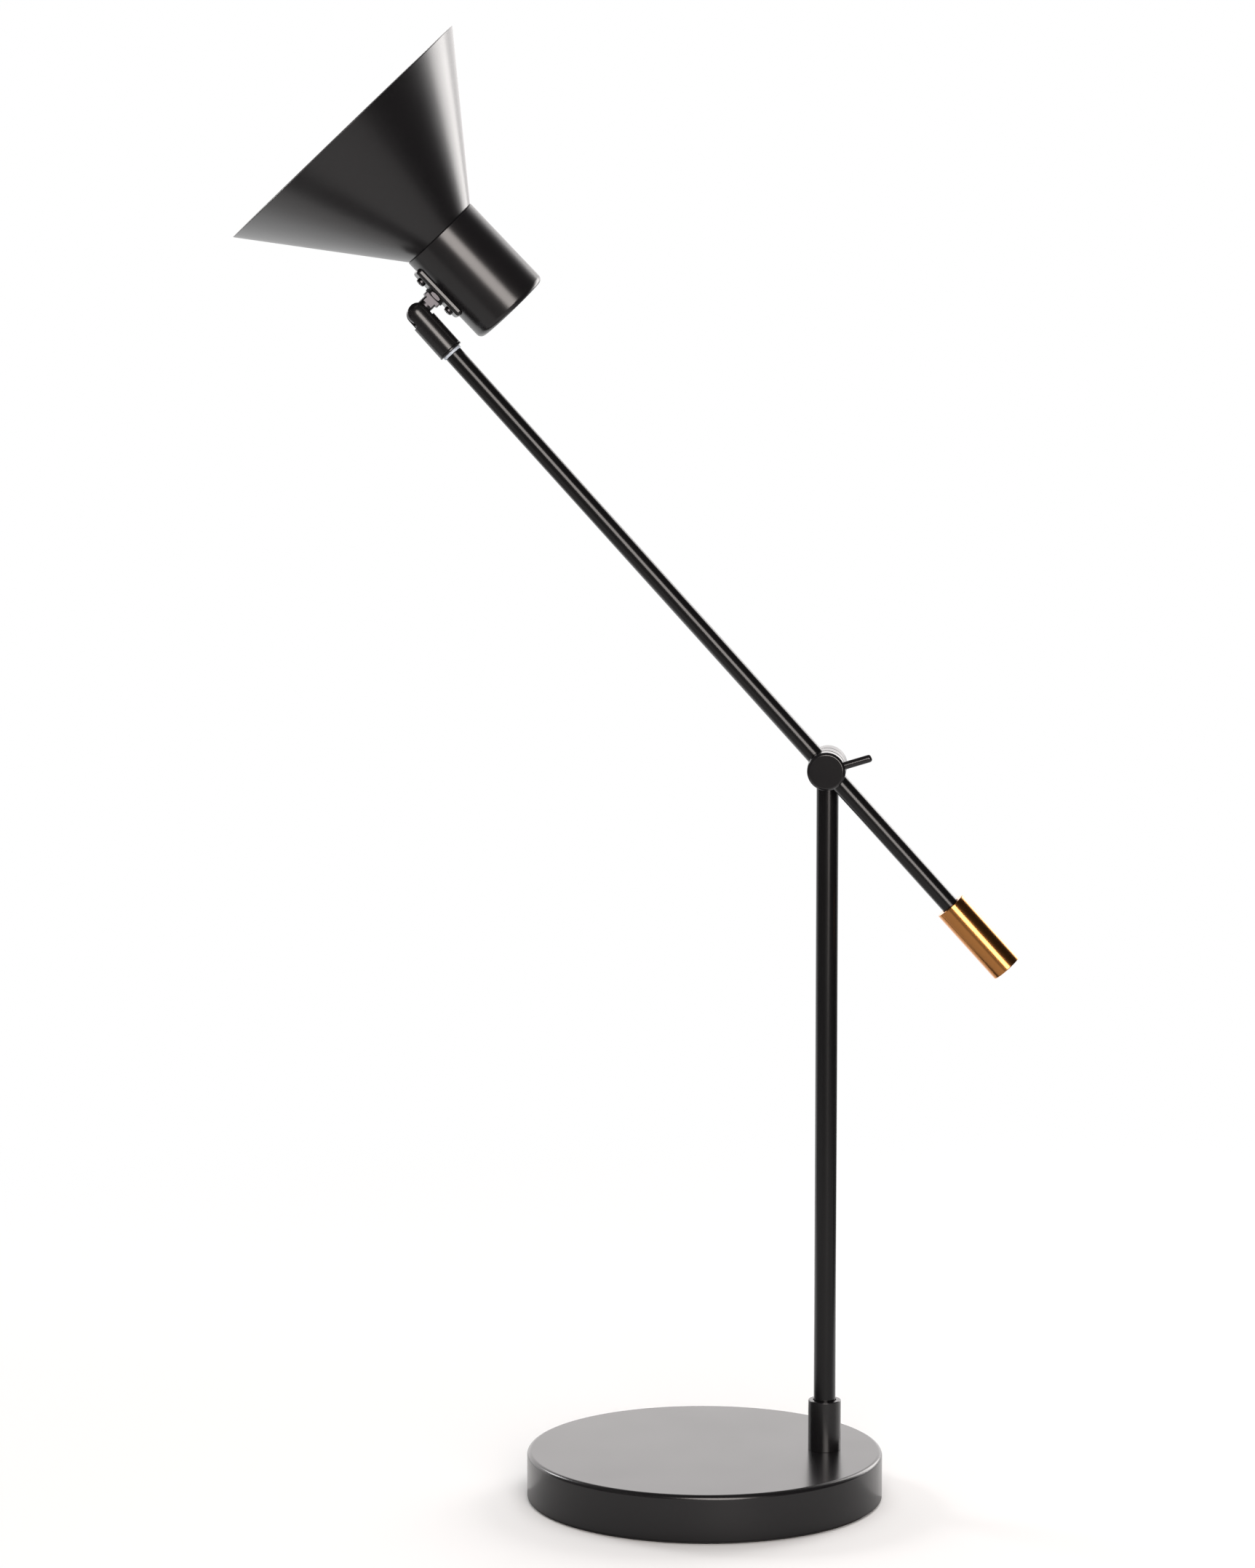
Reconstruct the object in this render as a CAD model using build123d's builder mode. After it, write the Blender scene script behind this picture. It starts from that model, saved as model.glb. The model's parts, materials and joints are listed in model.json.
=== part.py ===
from build123d import *
import os
from math import acos, cos, degrees, radians, sin, sqrt, tan

# Desk lamp: round base, off-centre post, counterweighted arm on a lever clamp, slotted ball knuckle,
# cup and cone shade. Millimetres, +Z up, origin at the centre of the base's underside. The arm tilts
# in a plane square to Y, and the clamp's knob faces -Y.

# Hexagon nuts
NUT_CORNER_ANGLE = 30.0

# Base
BASE_DIAMETER = 196.0
BASE_HEIGHT = 27.0
BASE_EDGE_RADIUS = 2.5
COVER_WALL = 1.5
COVER_LIFT = 1.5
PAD_THICKNESS = 3.0
PAD_INSET = 0.5
PLATE_THICKNESS = 2.0
PLATE_SCREW_COUNT = 3
PLATE_SCREW_CIRCLE = 50.0
PLATE_SCREW_BEARING = 60.0
PLATE_SCREW_DIAMETER = 4.0
PLATE_SCREW_HEAD = 8.0
PLATE_SCREW_GRIP = 7.0
COUNTERSINK_ANGLE = 90.0
BALLAST_WEB = 12.5
BALLAST_RIM = 12.0
BALLAST_BOSS = 14.0
BALLAST_CHAMFER = 1.6
COVER_FIT = 0.25
INLET_HEIGHT = 11.0
INLET_BORE = 6.5
INLET_BODY = 9.0
INLET_FLANGE = 12.5
INLET_FLANGE_THICKNESS = 1.6
INLET_FLANGE_ROUND = 0.8
INLET_LIP = 10.4
INLET_LIP_THICKNESS = 1.2
INLET_LIP_GAP = 0.3
INLET_NOTCH_CLEARANCE = 1.0

# Collar and post
POST_EDGE_DISTANCE = 31.8
POST_BEARING = 4.5
POST_DIAMETER = 12.0
POST_WALL = 1.4
COLLAR_DIAMETER = 18.0
COLLAR_HEIGHT = 28.0
COLLAR_LIP = 2.5
COLLAR_CLEARANCE = 0.4
COLLAR_CHAMFER = 0.5
COLLAR_BUSH_WALL = 0.95
RUNNING_FIT = 0.05
SPIGOT_DIAMETER = 10.0
SPIGOT_BORE = 6.4
SPIGOT_FLANGE = 5.0
SPIGOT_TAIL = 1.0
THRUST_WASHER_THICKNESS = 1.5
COLLAR_WASHER_DIAMETER = 20.0
COLLAR_WASHER_THICKNESS = 1.5
COLLAR_NUT_FLATS = 14.0
COLLAR_NUT_HEIGHT = 4.0
GRUB_HEIGHT = 13.0
GRUB_DIAMETER = 4.0
GRUB_TIP_DIAMETER = 3.0
GRUB_KEY = 2.0
GROOVE_DEPTH = 0.8
GROOVE_WIDTH = 3.8
GROOVE_CLEARANCE = 0.3

# Pivot and lever clamp
PIVOT_HEIGHT = 407.6
PIVOT_DIAMETER = 21.5
POST_HEAD_THICKNESS = 13.0
POST_HEAD_CHAMFER = 0.6
POST_TUBE_STOP = 5.6
PIVOT_SCREW_DIAMETER = 6.0
PIVOT_SCREW_FLATS = 8.0
PIVOT_SCREW_HEAD = 4.0
PIVOT_COUNTERBORE = 9.6
PIVOT_COUNTERBORE_DEPTH = 6.0
PIVOT_CAP_THICKNESS = 1.6
PIVOT_CAP_VENT = 1.2
PIVOT_SCREW_REACH = 7.0
FRICTION_WASHER_DIAMETER = 19.4
FRICTION_WASHER_THICKNESS = 0.6
BARREL_THICKNESS = 12.0
BARREL_CHAMFER = 0.4
KNOB_DIAMETER = 20.2
KNOB_THICKNESS = 10.0
KNOB_BEVEL = 0.9
KNOB_REAR_BEVEL = 0.3
KNOB_INSERT_DIAMETER = 9.0
KNOB_INSERT_LENGTH = 8.0
LEVER_DIAMETER = 4.0
LEVER_SHOW = 15.5
LEVER_SEAT = 4.8
LEVER_ANGLE = 17.0
LEVER_END_ROUND = 1.8
LEVER_SETBACK = 5.5

# Arm and counterweight
ARM_ELEVATION = 47.85
ARM_REACH = 330.0
ARM_DIAMETER = 10.0
ARM_WALL = 1.0
ARM_SOCKET = 5.2
SPOT_FACE_MARGIN = 0.6
SPOT_FACE_DEPTH = 1.1
WEIGHT_START = 100.0
WEIGHT_LENGTH = 46.0
WEIGHT_DIAMETER = 17.5
WEIGHT_CHAMFER = 0.5
WEIGHT_COUNTERBORE_MARGIN = 0.3
WEIGHT_COUNTERBORE_DEPTH = 1.5
WEIGHT_SPIGOT_DIAMETER = 8.0
WEIGHT_SPIGOT_LENGTH = 30.0

# Knuckle, measured along the arm back from the ball's centre
KNUCKLE_DIAMETER = 14.0
KNUCKLE_LENGTH = 26.1
KNUCKLE_TURN = 15.0
KNUCKLE_CHAMFER = 0.4
SLOT_WIDTH = 9.0
SLOT_DEPTH = 5.7
BALL_DIAMETER = 11.0
KNUCKLE_BORE = 11.2
PLUG_FLANGE_DIAMETER = 14.2
PLUG_FLANGE_THICKNESS = 1.25
PLUG_CHAMFER = 0.2
PLUG_TOP = 11.0
PLUG_FLOOR = 20.0
PLUG_WALL = 0.8
NYLON_DIAMETER = 11.2
NYLON_THICKNESS = 1.55
SPINDLE_DIAMETER = 5.0
SPINDLE_BORE = 2.8
SPINDLE_PLUG_LENGTH = 16.0
SWIVEL_NUT_FLATS = 7.6
SWIVEL_NUT_HEIGHT = 3.5
SPINDLE_TAIL = 1.0
SEAT_TOP = 4.3
SEAT_BOTTOM = 8.0
SEAT_BORE = 4.0
DISC_SPRING_THICKNESS = 0.6
DISC_SPRING_OUTER = 10.6
DISC_SPRING_INNER = 5.6
DISC_SPRING_GAP = 0.1

# Ball stud and bracket, measured along the stud from the ball's centre
STUD_SWING = 87.5
STUD_SPIN = 4.6
NECK_DIAMETER = 8.0
NECK_END = 9.8
STUD_FLANGE_DIAMETER = 10.4
STUD_FLANGE_THICKNESS = 2.0
STUD_FLATS = 5.7
STUD_FLATS_START = 7.0
STUD_THREAD = 6.0
STUD_BORE = 3.2
STUD_TAIL = 0.4
STUD_NUT_FLATS = 10.0
STUD_NUT_HEIGHT = 2.1
INNER_NUT_HEIGHT = 2.0
INNER_WASHER_DIAMETER = 11.0
INNER_WASHER_THICKNESS = 1.5
BRACKET_LENGTH = 33.5
BRACKET_WIDTH = 13.0
BRACKET_THICKNESS = 2.0
BRACKET_CORNER = 2.5
BRACKET_SCREW_SPACING = 21.2
BRACKET_SCREW_DIAMETER = 3.0
BRACKET_SCREW_HEAD = 5.2
BRACKET_SCREW_HEAD_HEIGHT = 1.9
BRACKET_SCREW_TAIL = 1.4
BRACKET_SCREW_ROUND = 0.95
RECESS_LENGTH = 2.8
RECESS_WIDTH = 0.7
RECESS_DEPTH = 1.0
RECESS_ANGLE = 45.0

# Cup, shade and lampholder, measured along the head's axis from the seam
CUP_DIAMETER = 46.3
CUP_LENGTH = 56.2
CUP_WALL = 1.2
CUP_EDGE_RADIUS = 3.0
CUP_SEAM_CHAMFER = 0.35
STUD_FOOT = 22.5
SHADE_RIM_DIAMETER = 163.6
SHADE_LENGTH = 75.2
SHADE_WALL = 0.9
SHADE_FLANGE = 1.0
HOLDER_THREAD_DIAMETER = 37.0
HOLDER_THREAD_FIT = 0.2
HOLDER_THREAD_SHOW = 6.0
HOLDER_SKIRT = 14.0
HOLDER_SHOULDER_DIAMETER = 41.6
HOLDER_SHOULDER = 4.0
HOLDER_BODY_DIAMETER = 33.0
HOLDER_LENGTH = 42.0
HOLDER_FLOOR = 30.0
SHELL_BORE = 26.4
SHELL_WALL = 0.6
SHELL_START = 23.0
SHELL_END = 4.0
CONTACT_DIAMETER = 9.0
CONTACT_THICKNESS = 0.8
CONTACT_PIP = 3.6
CONTACT_PIP_HEIGHT = 1.0
SHADE_RING_DIAMETER = 43.0
SHADE_RING_HEIGHT = 4.0
SHADE_RING_NOTCHES = 12
SHADE_RING_NOTCH = 2.4
HOLDER_SCREW_OFFSET = 9.0
HOLDER_SCREW_DIAMETER = 3.0
HOLDER_SCREW_HEAD = 5.6
HOLDER_SCREW_HEAD_HEIGHT = 1.6
HOLDER_SCREW_GRIP = 6.0
SPACER_DIAMETER = 7.0

# Radii and levels that follow from the sizes
base_radius = BASE_DIAMETER / 2
cover_inside = base_radius - COVER_WALL
ballast_radius = cover_inside - COVER_FIT
plate_top = PAD_THICKNESS + PLATE_THICKNESS
ballast_top = BASE_HEIGHT - COVER_WALL
ballast_web_underside = ballast_top - BALLAST_WEB
inlet_notch_radius = INLET_LIP / 2 + INLET_NOTCH_CLEARANCE
inlet_lip_face = COVER_WALL + INLET_LIP_GAP
inlet_end = inlet_lip_face + INLET_LIP_THICKNESS
post_radius = POST_DIAMETER / 2
collar_bore = post_radius + RUNNING_FIT + COLLAR_BUSH_WALL
spigot_radius = SPIGOT_DIAMETER / 2
post_foot_level = SPIGOT_FLANGE + THRUST_WASHER_THICKNESS
washer_level = ballast_web_underside - BASE_HEIGHT - COLLAR_WASHER_THICKNESS
nut_level = washer_level - COLLAR_NUT_HEIGHT
pivot_radius = PIVOT_DIAMETER / 2
pivot_screw_radius = PIVOT_SCREW_DIAMETER / 2
pivot_running_radius = pivot_screw_radius + RUNNING_FIT
arm_radius = ARM_DIAMETER / 2
weight_rod_end = WEIGHT_START + WEIGHT_COUNTERBORE_DEPTH
knuckle_radius = KNUCKLE_DIAMETER / 2
ball_radius = BALL_DIAMETER / 2
socket_radius = ball_radius + RUNNING_FIT
plug_flange_end = KNUCKLE_LENGTH + PLUG_FLANGE_THICKNESS
arm_tube_end = plug_flange_end + NYLON_THICKNESS
spindle_radius = SPINDLE_DIAMETER / 2
spindle_running_radius = spindle_radius + RUNNING_FIT
cup_radius = CUP_DIAMETER / 2
cup_inside = cup_radius - CUP_WALL
stud_thread_radius = STUD_THREAD / 2
stud_flange_end = NECK_END + STUD_FLANGE_THICKNESS
bracket_face = stud_flange_end + STUD_NUT_HEIGHT
cup_wall_outside = bracket_face + BRACKET_THICKNESS
inner_washer_face = cup_wall_outside + CUP_WALL + INNER_WASHER_THICKNESS
stud_end = inner_washer_face + INNER_NUT_HEIGHT + STUD_TAIL
holder_thread_radius = HOLDER_THREAD_DIAMETER / 2
shell_radius = SHELL_BORE / 2

# Stack along the pivot, from the post's axis towards the knob's face
post_head_front = POST_HEAD_THICKNESS / 2
barrel_rear = post_head_front + FRICTION_WASHER_THICKNESS
arm_stand_off = barrel_rear + BARREL_THICKNESS / 2
barrel_front = barrel_rear + BARREL_THICKNESS
knob_rear = barrel_front + FRICTION_WASHER_THICKNESS
knob_face = knob_rear + KNOB_THICKNESS
pivot_screw_seat = PIVOT_COUNTERBORE_DEPTH - post_head_front

# Planes that carry the pieces; each one's Z runs along its piece's axis
post_offset = base_radius - POST_EDGE_DISTANCE
post_x = post_offset * cos(radians(POST_BEARING))
post_y = post_offset * sin(radians(POST_BEARING))
POST = Plane(origin=(post_x, post_y, BASE_HEIGHT))
GRUB = Plane(origin=POST.offset(GRUB_HEIGHT).origin, x_dir=(-1, 0, 0), z_dir=(0, 1, 0))
INLET = Plane(origin=(0, base_radius, INLET_HEIGHT), x_dir=(-1, 0, 0), z_dir=(0, 1, 0))
PIVOT = Plane(origin=(post_x, post_y, PIVOT_HEIGHT), x_dir=(1, 0, 0), z_dir=(0, -1, 0))

lever_x = cos(radians(LEVER_ANGLE))
lever_z = sin(radians(LEVER_ANGLE))
lever_middle = PIVOT.offset(knob_face - LEVER_SETBACK).origin
LEVER = Plane(origin=lever_middle, x_dir=(-lever_z, 0, lever_x), z_dir=(lever_x, 0, lever_z))

arm_direction = Vector(-cos(radians(ARM_ELEVATION)), 0, sin(radians(ARM_ELEVATION)))
arm_side = Vector(sin(radians(ARM_ELEVATION)), 0, cos(radians(ARM_ELEVATION)))
ARM = Plane(origin=PIVOT.offset(arm_stand_off).origin, x_dir=arm_side, z_dir=arm_direction)

slot_side = arm_side * cos(radians(KNUCKLE_TURN)) + Vector(0, 1, 0) * sin(radians(KNUCKLE_TURN))
KNUCKLE = Plane(origin=ARM.offset(ARM_REACH).origin, x_dir=slot_side, z_dir=arm_direction)

stud_direction = arm_direction * cos(radians(STUD_SWING)) + slot_side * sin(radians(STUD_SWING))
level_head = arm_direction * sin(radians(STUD_SWING)) - slot_side * cos(radians(STUD_SWING))
head_direction = level_head.rotate(Axis((0, 0, 0), stud_direction), STUD_SPIN)
STUD = Plane(origin=KNUCKLE.origin, x_dir=head_direction, z_dir=stud_direction)
head_middle = STUD.offset(cup_wall_outside + cup_radius).origin + head_direction * STUD_FOOT
HEAD = Plane(origin=head_middle, x_dir=-stud_direction, z_dir=head_direction)


def side_of(plane):
    """Plane through a turned piece's axis: X runs out from the axis, Y along it."""
    return Plane(origin=plane.origin, x_dir=plane.x_dir, z_dir=plane.x_dir.cross(plane.z_dir))


def axis_of(plane):
    """Axis that a piece on this plane is turned about."""
    return Axis(plane.origin, plane.z_dir)


def washer(plane, outer_diameter, hole_radius, thickness):
    """Flat ring standing on a plane."""
    with BuildPart() as ring:
        with BuildSketch(plane):
            Circle(outer_diameter / 2)
            Circle(hole_radius, mode=Mode.SUBTRACT)
        extrude(amount=thickness)
    return ring


def hex_nut(plane, across_flats, hole_radius, height):
    """Hexagon nut standing on a plane, with its corners turned off at both ends."""
    corner_radius = across_flats / sqrt(3)
    corner_drop = (corner_radius - across_flats / 2) * tan(radians(NUT_CORNER_ANGLE))
    with BuildPart() as nut:
        with BuildSketch(plane):
            RegularPolygon(across_flats / 2, 6, major_radius=False)
        extrude(amount=height)
        with BuildSketch(side_of(plane)):
            with BuildLine():
                Polyline(
                    (0, 0),
                    (across_flats / 2, 0),
                    (corner_radius, corner_drop),
                    (corner_radius, height - corner_drop),
                    (across_flats / 2, height),
                    (0, height),
                    close=True,
                )
            make_face()
        revolve(axis=axis_of(plane), mode=Mode.INTERSECT)
        with BuildSketch(plane):
            Circle(hole_radius)
        extrude(amount=height, mode=Mode.SUBTRACT)
    return nut


# Base cover: spun shell, open below, with holes for the collar's spigot and the inlet bush
with BuildPart() as base_cover:
    with BuildSketch(Plane.XY.offset(COVER_LIFT)):
        Circle(base_radius)
    extrude(amount=BASE_HEIGHT - COVER_LIFT)
    fillet(base_cover.edges().group_by(Axis.Z)[-1], BASE_EDGE_RADIUS)
    offset(amount=-COVER_WALL, openings=base_cover.faces().sort_by(Axis.Z)[0])
    with BuildSketch(POST):
        Circle(spigot_radius)
    extrude(amount=-2 * COVER_WALL, mode=Mode.SUBTRACT)
    with BuildSketch(INLET):
        Circle(INLET_BODY / 2)
    extrude(amount=-4 * COVER_WALL, mode=Mode.SUBTRACT)

# Ballast: iron casting with a rim, bosses for the plate's screws and a notch for the lead
with BuildPart() as base_ballast:
    with BuildSketch(Plane.XY.offset(plate_top)):
        Circle(ballast_radius)
    extrude(amount=ballast_top - plate_top)
    chamfer(base_ballast.edges().group_by(Axis.Z)[-1], BALLAST_CHAMFER)
    with BuildSketch(Plane.XY.offset(plate_top)):
        Circle(ballast_radius - BALLAST_RIM)
        with PolarLocations(PLATE_SCREW_CIRCLE, PLATE_SCREW_COUNT, PLATE_SCREW_BEARING):
            Circle(BALLAST_BOSS / 2, mode=Mode.SUBTRACT)
    extrude(amount=ballast_web_underside - plate_top, mode=Mode.SUBTRACT)
    with BuildSketch(Plane.XY.offset(plate_top)):
        with PolarLocations(PLATE_SCREW_CIRCLE, PLATE_SCREW_COUNT, PLATE_SCREW_BEARING):
            Circle(PLATE_SCREW_DIAMETER / 2)
    extrude(amount=PLATE_SCREW_GRIP, mode=Mode.SUBTRACT)
    with BuildSketch(POST):
        Circle(spigot_radius)
    extrude(amount=-BASE_HEIGHT, mode=Mode.SUBTRACT)
    with BuildSketch(INLET.offset(-COVER_WALL)):
        with Locations((0, (plate_top - INLET_HEIGHT) / 2)):
            Rectangle(2 * inlet_notch_radius, INLET_HEIGHT - plate_top)
        Circle(inlet_notch_radius)
    extrude(amount=-2 * BALLAST_RIM, mode=Mode.SUBTRACT)

# Closing plate, its countersunk screws, and the pad that the lamp stands on
with BuildPart() as base_plate:
    with BuildSketch(Plane.XY.offset(PAD_THICKNESS)):
        Circle(ballast_radius)
    extrude(amount=PLATE_THICKNESS)
    with Locations(Plane.XY.offset(PAD_THICKNESS) * Rot(X=180)):
        with PolarLocations(PLATE_SCREW_CIRCLE, PLATE_SCREW_COUNT, -PLATE_SCREW_BEARING):
            CounterSinkHole(
                PLATE_SCREW_DIAMETER / 2, PLATE_SCREW_HEAD / 2, PLATE_THICKNESS, COUNTERSINK_ANGLE
            )

head_slope = (PLATE_SCREW_HEAD - PLATE_SCREW_DIAMETER) / 2 / tan(radians(COUNTERSINK_ANGLE / 2))
with BuildPart() as base_plate_screws:
    with BuildSketch(Plane.XY.offset(PAD_THICKNESS)):
        with PolarLocations(PLATE_SCREW_CIRCLE, PLATE_SCREW_COUNT, PLATE_SCREW_BEARING):
            Circle(PLATE_SCREW_HEAD / 2)
    extrude(amount=head_slope, taper=COUNTERSINK_ANGLE / 2)
    with BuildSketch(Plane.XY.offset(PAD_THICKNESS)):
        with PolarLocations(PLATE_SCREW_CIRCLE, PLATE_SCREW_COUNT, PLATE_SCREW_BEARING):
            Circle(PLATE_SCREW_DIAMETER / 2)
    extrude(amount=PLATE_THICKNESS + PLATE_SCREW_GRIP)

with BuildPart() as foot_pad:
    with BuildSketch(Plane.XY):
        Circle(cover_inside - PAD_INSET)
    extrude(amount=PAD_THICKNESS)

# Inlet bush: flange that follows the wall, a body through it and a lip behind it
with BuildPart() as cord_inlet_bush:
    with BuildSketch(INLET.offset(-COVER_WALL)):
        Circle(INLET_FLANGE / 2)
    extrude(amount=COVER_WALL + INLET_FLANGE_THICKNESS)
    fillet(cord_inlet_bush.edges().group_by(Axis.Y)[-1], INLET_FLANGE_ROUND)
    with BuildSketch(Plane.XY):
        Circle(base_radius)
    extrude(amount=BASE_HEIGHT, mode=Mode.SUBTRACT)
    with BuildSketch(INLET.offset(-inlet_end)):
        Circle(INLET_BODY / 2)
    extrude(amount=inlet_end + INLET_FLANGE_THICKNESS / 2)
    with BuildSketch(INLET.offset(-inlet_end)):
        Circle(INLET_LIP / 2)
    extrude(amount=INLET_LIP_THICKNESS)
    with BuildSketch(INLET.offset(-inlet_end)):
        Circle(INLET_BORE / 2)
    extrude(amount=inlet_end + INLET_FLANGE_THICKNESS, mode=Mode.SUBTRACT)

# Collar: turned ring with a lip that leaves a clear gap round the post
with BuildPart() as post_collar:
    with BuildSketch(POST):
        Circle(COLLAR_DIAMETER / 2)
        Circle(collar_bore, mode=Mode.SUBTRACT)
    extrude(amount=COLLAR_HEIGHT - COLLAR_LIP)
    with BuildSketch(POST.offset(COLLAR_HEIGHT - COLLAR_LIP)):
        Circle(COLLAR_DIAMETER / 2)
        Circle(post_radius + COLLAR_CLEARANCE, mode=Mode.SUBTRACT)
    extrude(amount=COLLAR_LIP)
    chamfer(post_collar.edges().group_by(Axis.Z)[-1], COLLAR_CHAMFER)
    with BuildSketch(GRUB):
        Circle(GRUB_DIAMETER / 2)
    extrude(amount=COLLAR_DIAMETER, mode=Mode.SUBTRACT)

with BuildPart() as collar_bush:
    with BuildSketch(POST.offset(post_foot_level)):
        Circle(collar_bore)
        Circle(post_radius + RUNNING_FIT, mode=Mode.SUBTRACT)
    extrude(amount=COLLAR_HEIGHT - COLLAR_LIP - post_foot_level)
    with BuildSketch(GRUB):
        Circle(GRUB_DIAMETER / 2)
    extrude(amount=COLLAR_DIAMETER, mode=Mode.SUBTRACT)

with BuildPart() as collar_spigot:
    with BuildSketch(POST):
        Circle(collar_bore)
    extrude(amount=SPIGOT_FLANGE)
    with BuildSketch(POST):
        Circle(spigot_radius)
    extrude(amount=nut_level - SPIGOT_TAIL)
    with BuildSketch(POST.offset(SPIGOT_FLANGE)):
        Circle(SPIGOT_BORE / 2)
    extrude(amount=-SPIGOT_FLANGE - BASE_HEIGHT, mode=Mode.SUBTRACT)

post_thrust_washer = washer(
    POST.offset(SPIGOT_FLANGE), 2 * collar_bore, SPIGOT_BORE / 2, THRUST_WASHER_THICKNESS
)
collar_washer = washer(
    POST.offset(washer_level), COLLAR_WASHER_DIAMETER, spigot_radius, COLLAR_WASHER_THICKNESS
)
collar_nut = hex_nut(POST.offset(nut_level), COLLAR_NUT_FLATS, spigot_radius, COLLAR_NUT_HEIGHT)

# Grub screw: its tip runs in the post's groove, so that the post turns but can't lift out
groove_floor = post_radius - GROOVE_DEPTH
with BuildPart() as collar_grub_screw:
    with BuildSketch(GRUB.offset(groove_floor + GROOVE_CLEARANCE)):
        Circle(GRUB_TIP_DIAMETER / 2)
    extrude(amount=COLLAR_DIAMETER / 2 - groove_floor - 2 * GROOVE_CLEARANCE)
    with BuildSketch(GRUB.offset(post_radius + COLLAR_CLEARANCE)):
        Circle(GRUB_DIAMETER / 2)
    extrude(amount=COLLAR_DIAMETER / 2 - post_radius - COLLAR_CLEARANCE - GROOVE_CLEARANCE)
    with BuildSketch(GRUB.offset(COLLAR_DIAMETER / 2)):
        RegularPolygon(GRUB_KEY / 2, 6, major_radius=False)
    extrude(amount=-GRUB_KEY, mode=Mode.SUBTRACT)

# Post
post_tube_length = PIVOT_HEIGHT - POST_TUBE_STOP - BASE_HEIGHT - post_foot_level
with BuildPart() as post_tube:
    with BuildSketch(POST.offset(post_foot_level)):
        Circle(post_radius)
        Circle(post_radius - POST_WALL, mode=Mode.SUBTRACT)
    extrude(amount=post_tube_length)
    with BuildSketch(POST.offset(GRUB_HEIGHT - GROOVE_WIDTH / 2)):
        Circle(post_radius)
        Circle(groove_floor, mode=Mode.SUBTRACT)
    extrude(amount=GROOVE_WIDTH, mode=Mode.SUBTRACT)

with BuildPart() as post_head:
    with BuildSketch(PIVOT.offset(-post_head_front)):
        Circle(pivot_radius)
    extrude(amount=POST_HEAD_THICKNESS)
    chamfer(post_head.edges().filter_by(GeomType.CIRCLE), POST_HEAD_CHAMFER)
    with BuildSketch(POST.offset(PIVOT_HEIGHT - POST_TUBE_STOP - BASE_HEIGHT)):
        Circle(post_radius)
    extrude(amount=-PIVOT_DIAMETER, mode=Mode.SUBTRACT)
    with BuildSketch(PIVOT.offset(-post_head_front)):
        Circle(PIVOT_COUNTERBORE / 2)
    extrude(amount=PIVOT_COUNTERBORE_DEPTH, mode=Mode.SUBTRACT)
    with BuildSketch(PIVOT.offset(-post_head_front)):
        Circle(pivot_screw_radius)
    extrude(amount=POST_HEAD_THICKNESS, mode=Mode.SUBTRACT)

with BuildPart() as pivot_screw:
    with BuildSketch(PIVOT.offset(pivot_screw_seat)):
        RegularPolygon(PIVOT_SCREW_FLATS / 2, 6, major_radius=False)
    extrude(amount=-PIVOT_SCREW_HEAD)
    with BuildSketch(PIVOT.offset(pivot_screw_seat)):
        Circle(pivot_screw_radius)
    extrude(amount=knob_rear + PIVOT_SCREW_REACH - pivot_screw_seat)

pivot_cap = washer(
    PIVOT.offset(-post_head_front), PIVOT_COUNTERBORE, PIVOT_CAP_VENT / 2, PIVOT_CAP_THICKNESS
)
rear_friction_washer = washer(
    PIVOT.offset(post_head_front), FRICTION_WASHER_DIAMETER, pivot_running_radius, FRICTION_WASHER_THICKNESS
)

# Lever clamp
with BuildPart() as clamp_knob:
    with BuildSketch(PIVOT.offset(knob_rear)):
        Circle(KNOB_DIAMETER / 2)
    extrude(amount=KNOB_THICKNESS)
    knob_ends = clamp_knob.edges().filter_by(GeomType.CIRCLE).sort_by(Axis.Y)
    chamfer(knob_ends[0], KNOB_BEVEL)
    chamfer(knob_ends[-1], KNOB_REAR_BEVEL)
    with BuildSketch(PIVOT.offset(knob_rear)):
        Circle(KNOB_INSERT_DIAMETER / 2)
    extrude(amount=KNOB_INSERT_LENGTH, mode=Mode.SUBTRACT)
    with BuildSketch(LEVER.offset(LEVER_SEAT)):
        Circle(LEVER_DIAMETER / 2)
    extrude(amount=KNOB_DIAMETER, mode=Mode.SUBTRACT)

knob_insert = washer(
    PIVOT.offset(knob_rear), KNOB_INSERT_DIAMETER, pivot_running_radius, KNOB_INSERT_LENGTH
)
front_friction_washer = washer(
    PIVOT.offset(barrel_front), FRICTION_WASHER_DIAMETER, pivot_running_radius, FRICTION_WASHER_THICKNESS
)

lever_end = KNOB_DIAMETER / 2 + LEVER_SHOW
with BuildPart() as clamp_lever:
    with BuildSketch(LEVER.offset(LEVER_SEAT)):
        Circle(LEVER_DIAMETER / 2)
    extrude(amount=lever_end - LEVER_SEAT)
    lever_rims = clamp_lever.edges().filter_by(GeomType.CIRCLE).sort_by(axis_of(LEVER))
    fillet(lever_rims[-1], LEVER_END_ROUND)

# Arm: a barrel on the pivot screw, the tube to the head and the rod to the counterweight
with BuildPart() as arm_barrel:
    with BuildSketch(PIVOT.offset(barrel_rear)):
        Circle(pivot_radius)
    extrude(amount=BARREL_THICKNESS)
    chamfer(arm_barrel.edges().filter_by(GeomType.CIRCLE), BARREL_CHAMFER)
    with BuildSketch(PIVOT.offset(barrel_rear)):
        Circle(pivot_running_radius)
    extrude(amount=BARREL_THICKNESS, mode=Mode.SUBTRACT)
    for way in (1, -1):
        with BuildSketch(ARM.offset(way * ARM_SOCKET)):
            Circle(arm_radius)
        extrude(amount=way * pivot_radius, mode=Mode.SUBTRACT)
        with BuildSketch(ARM.offset(way * (pivot_radius - SPOT_FACE_DEPTH))):
            Circle(arm_radius + SPOT_FACE_MARGIN)
        extrude(amount=way * pivot_radius, mode=Mode.SUBTRACT)

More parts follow.
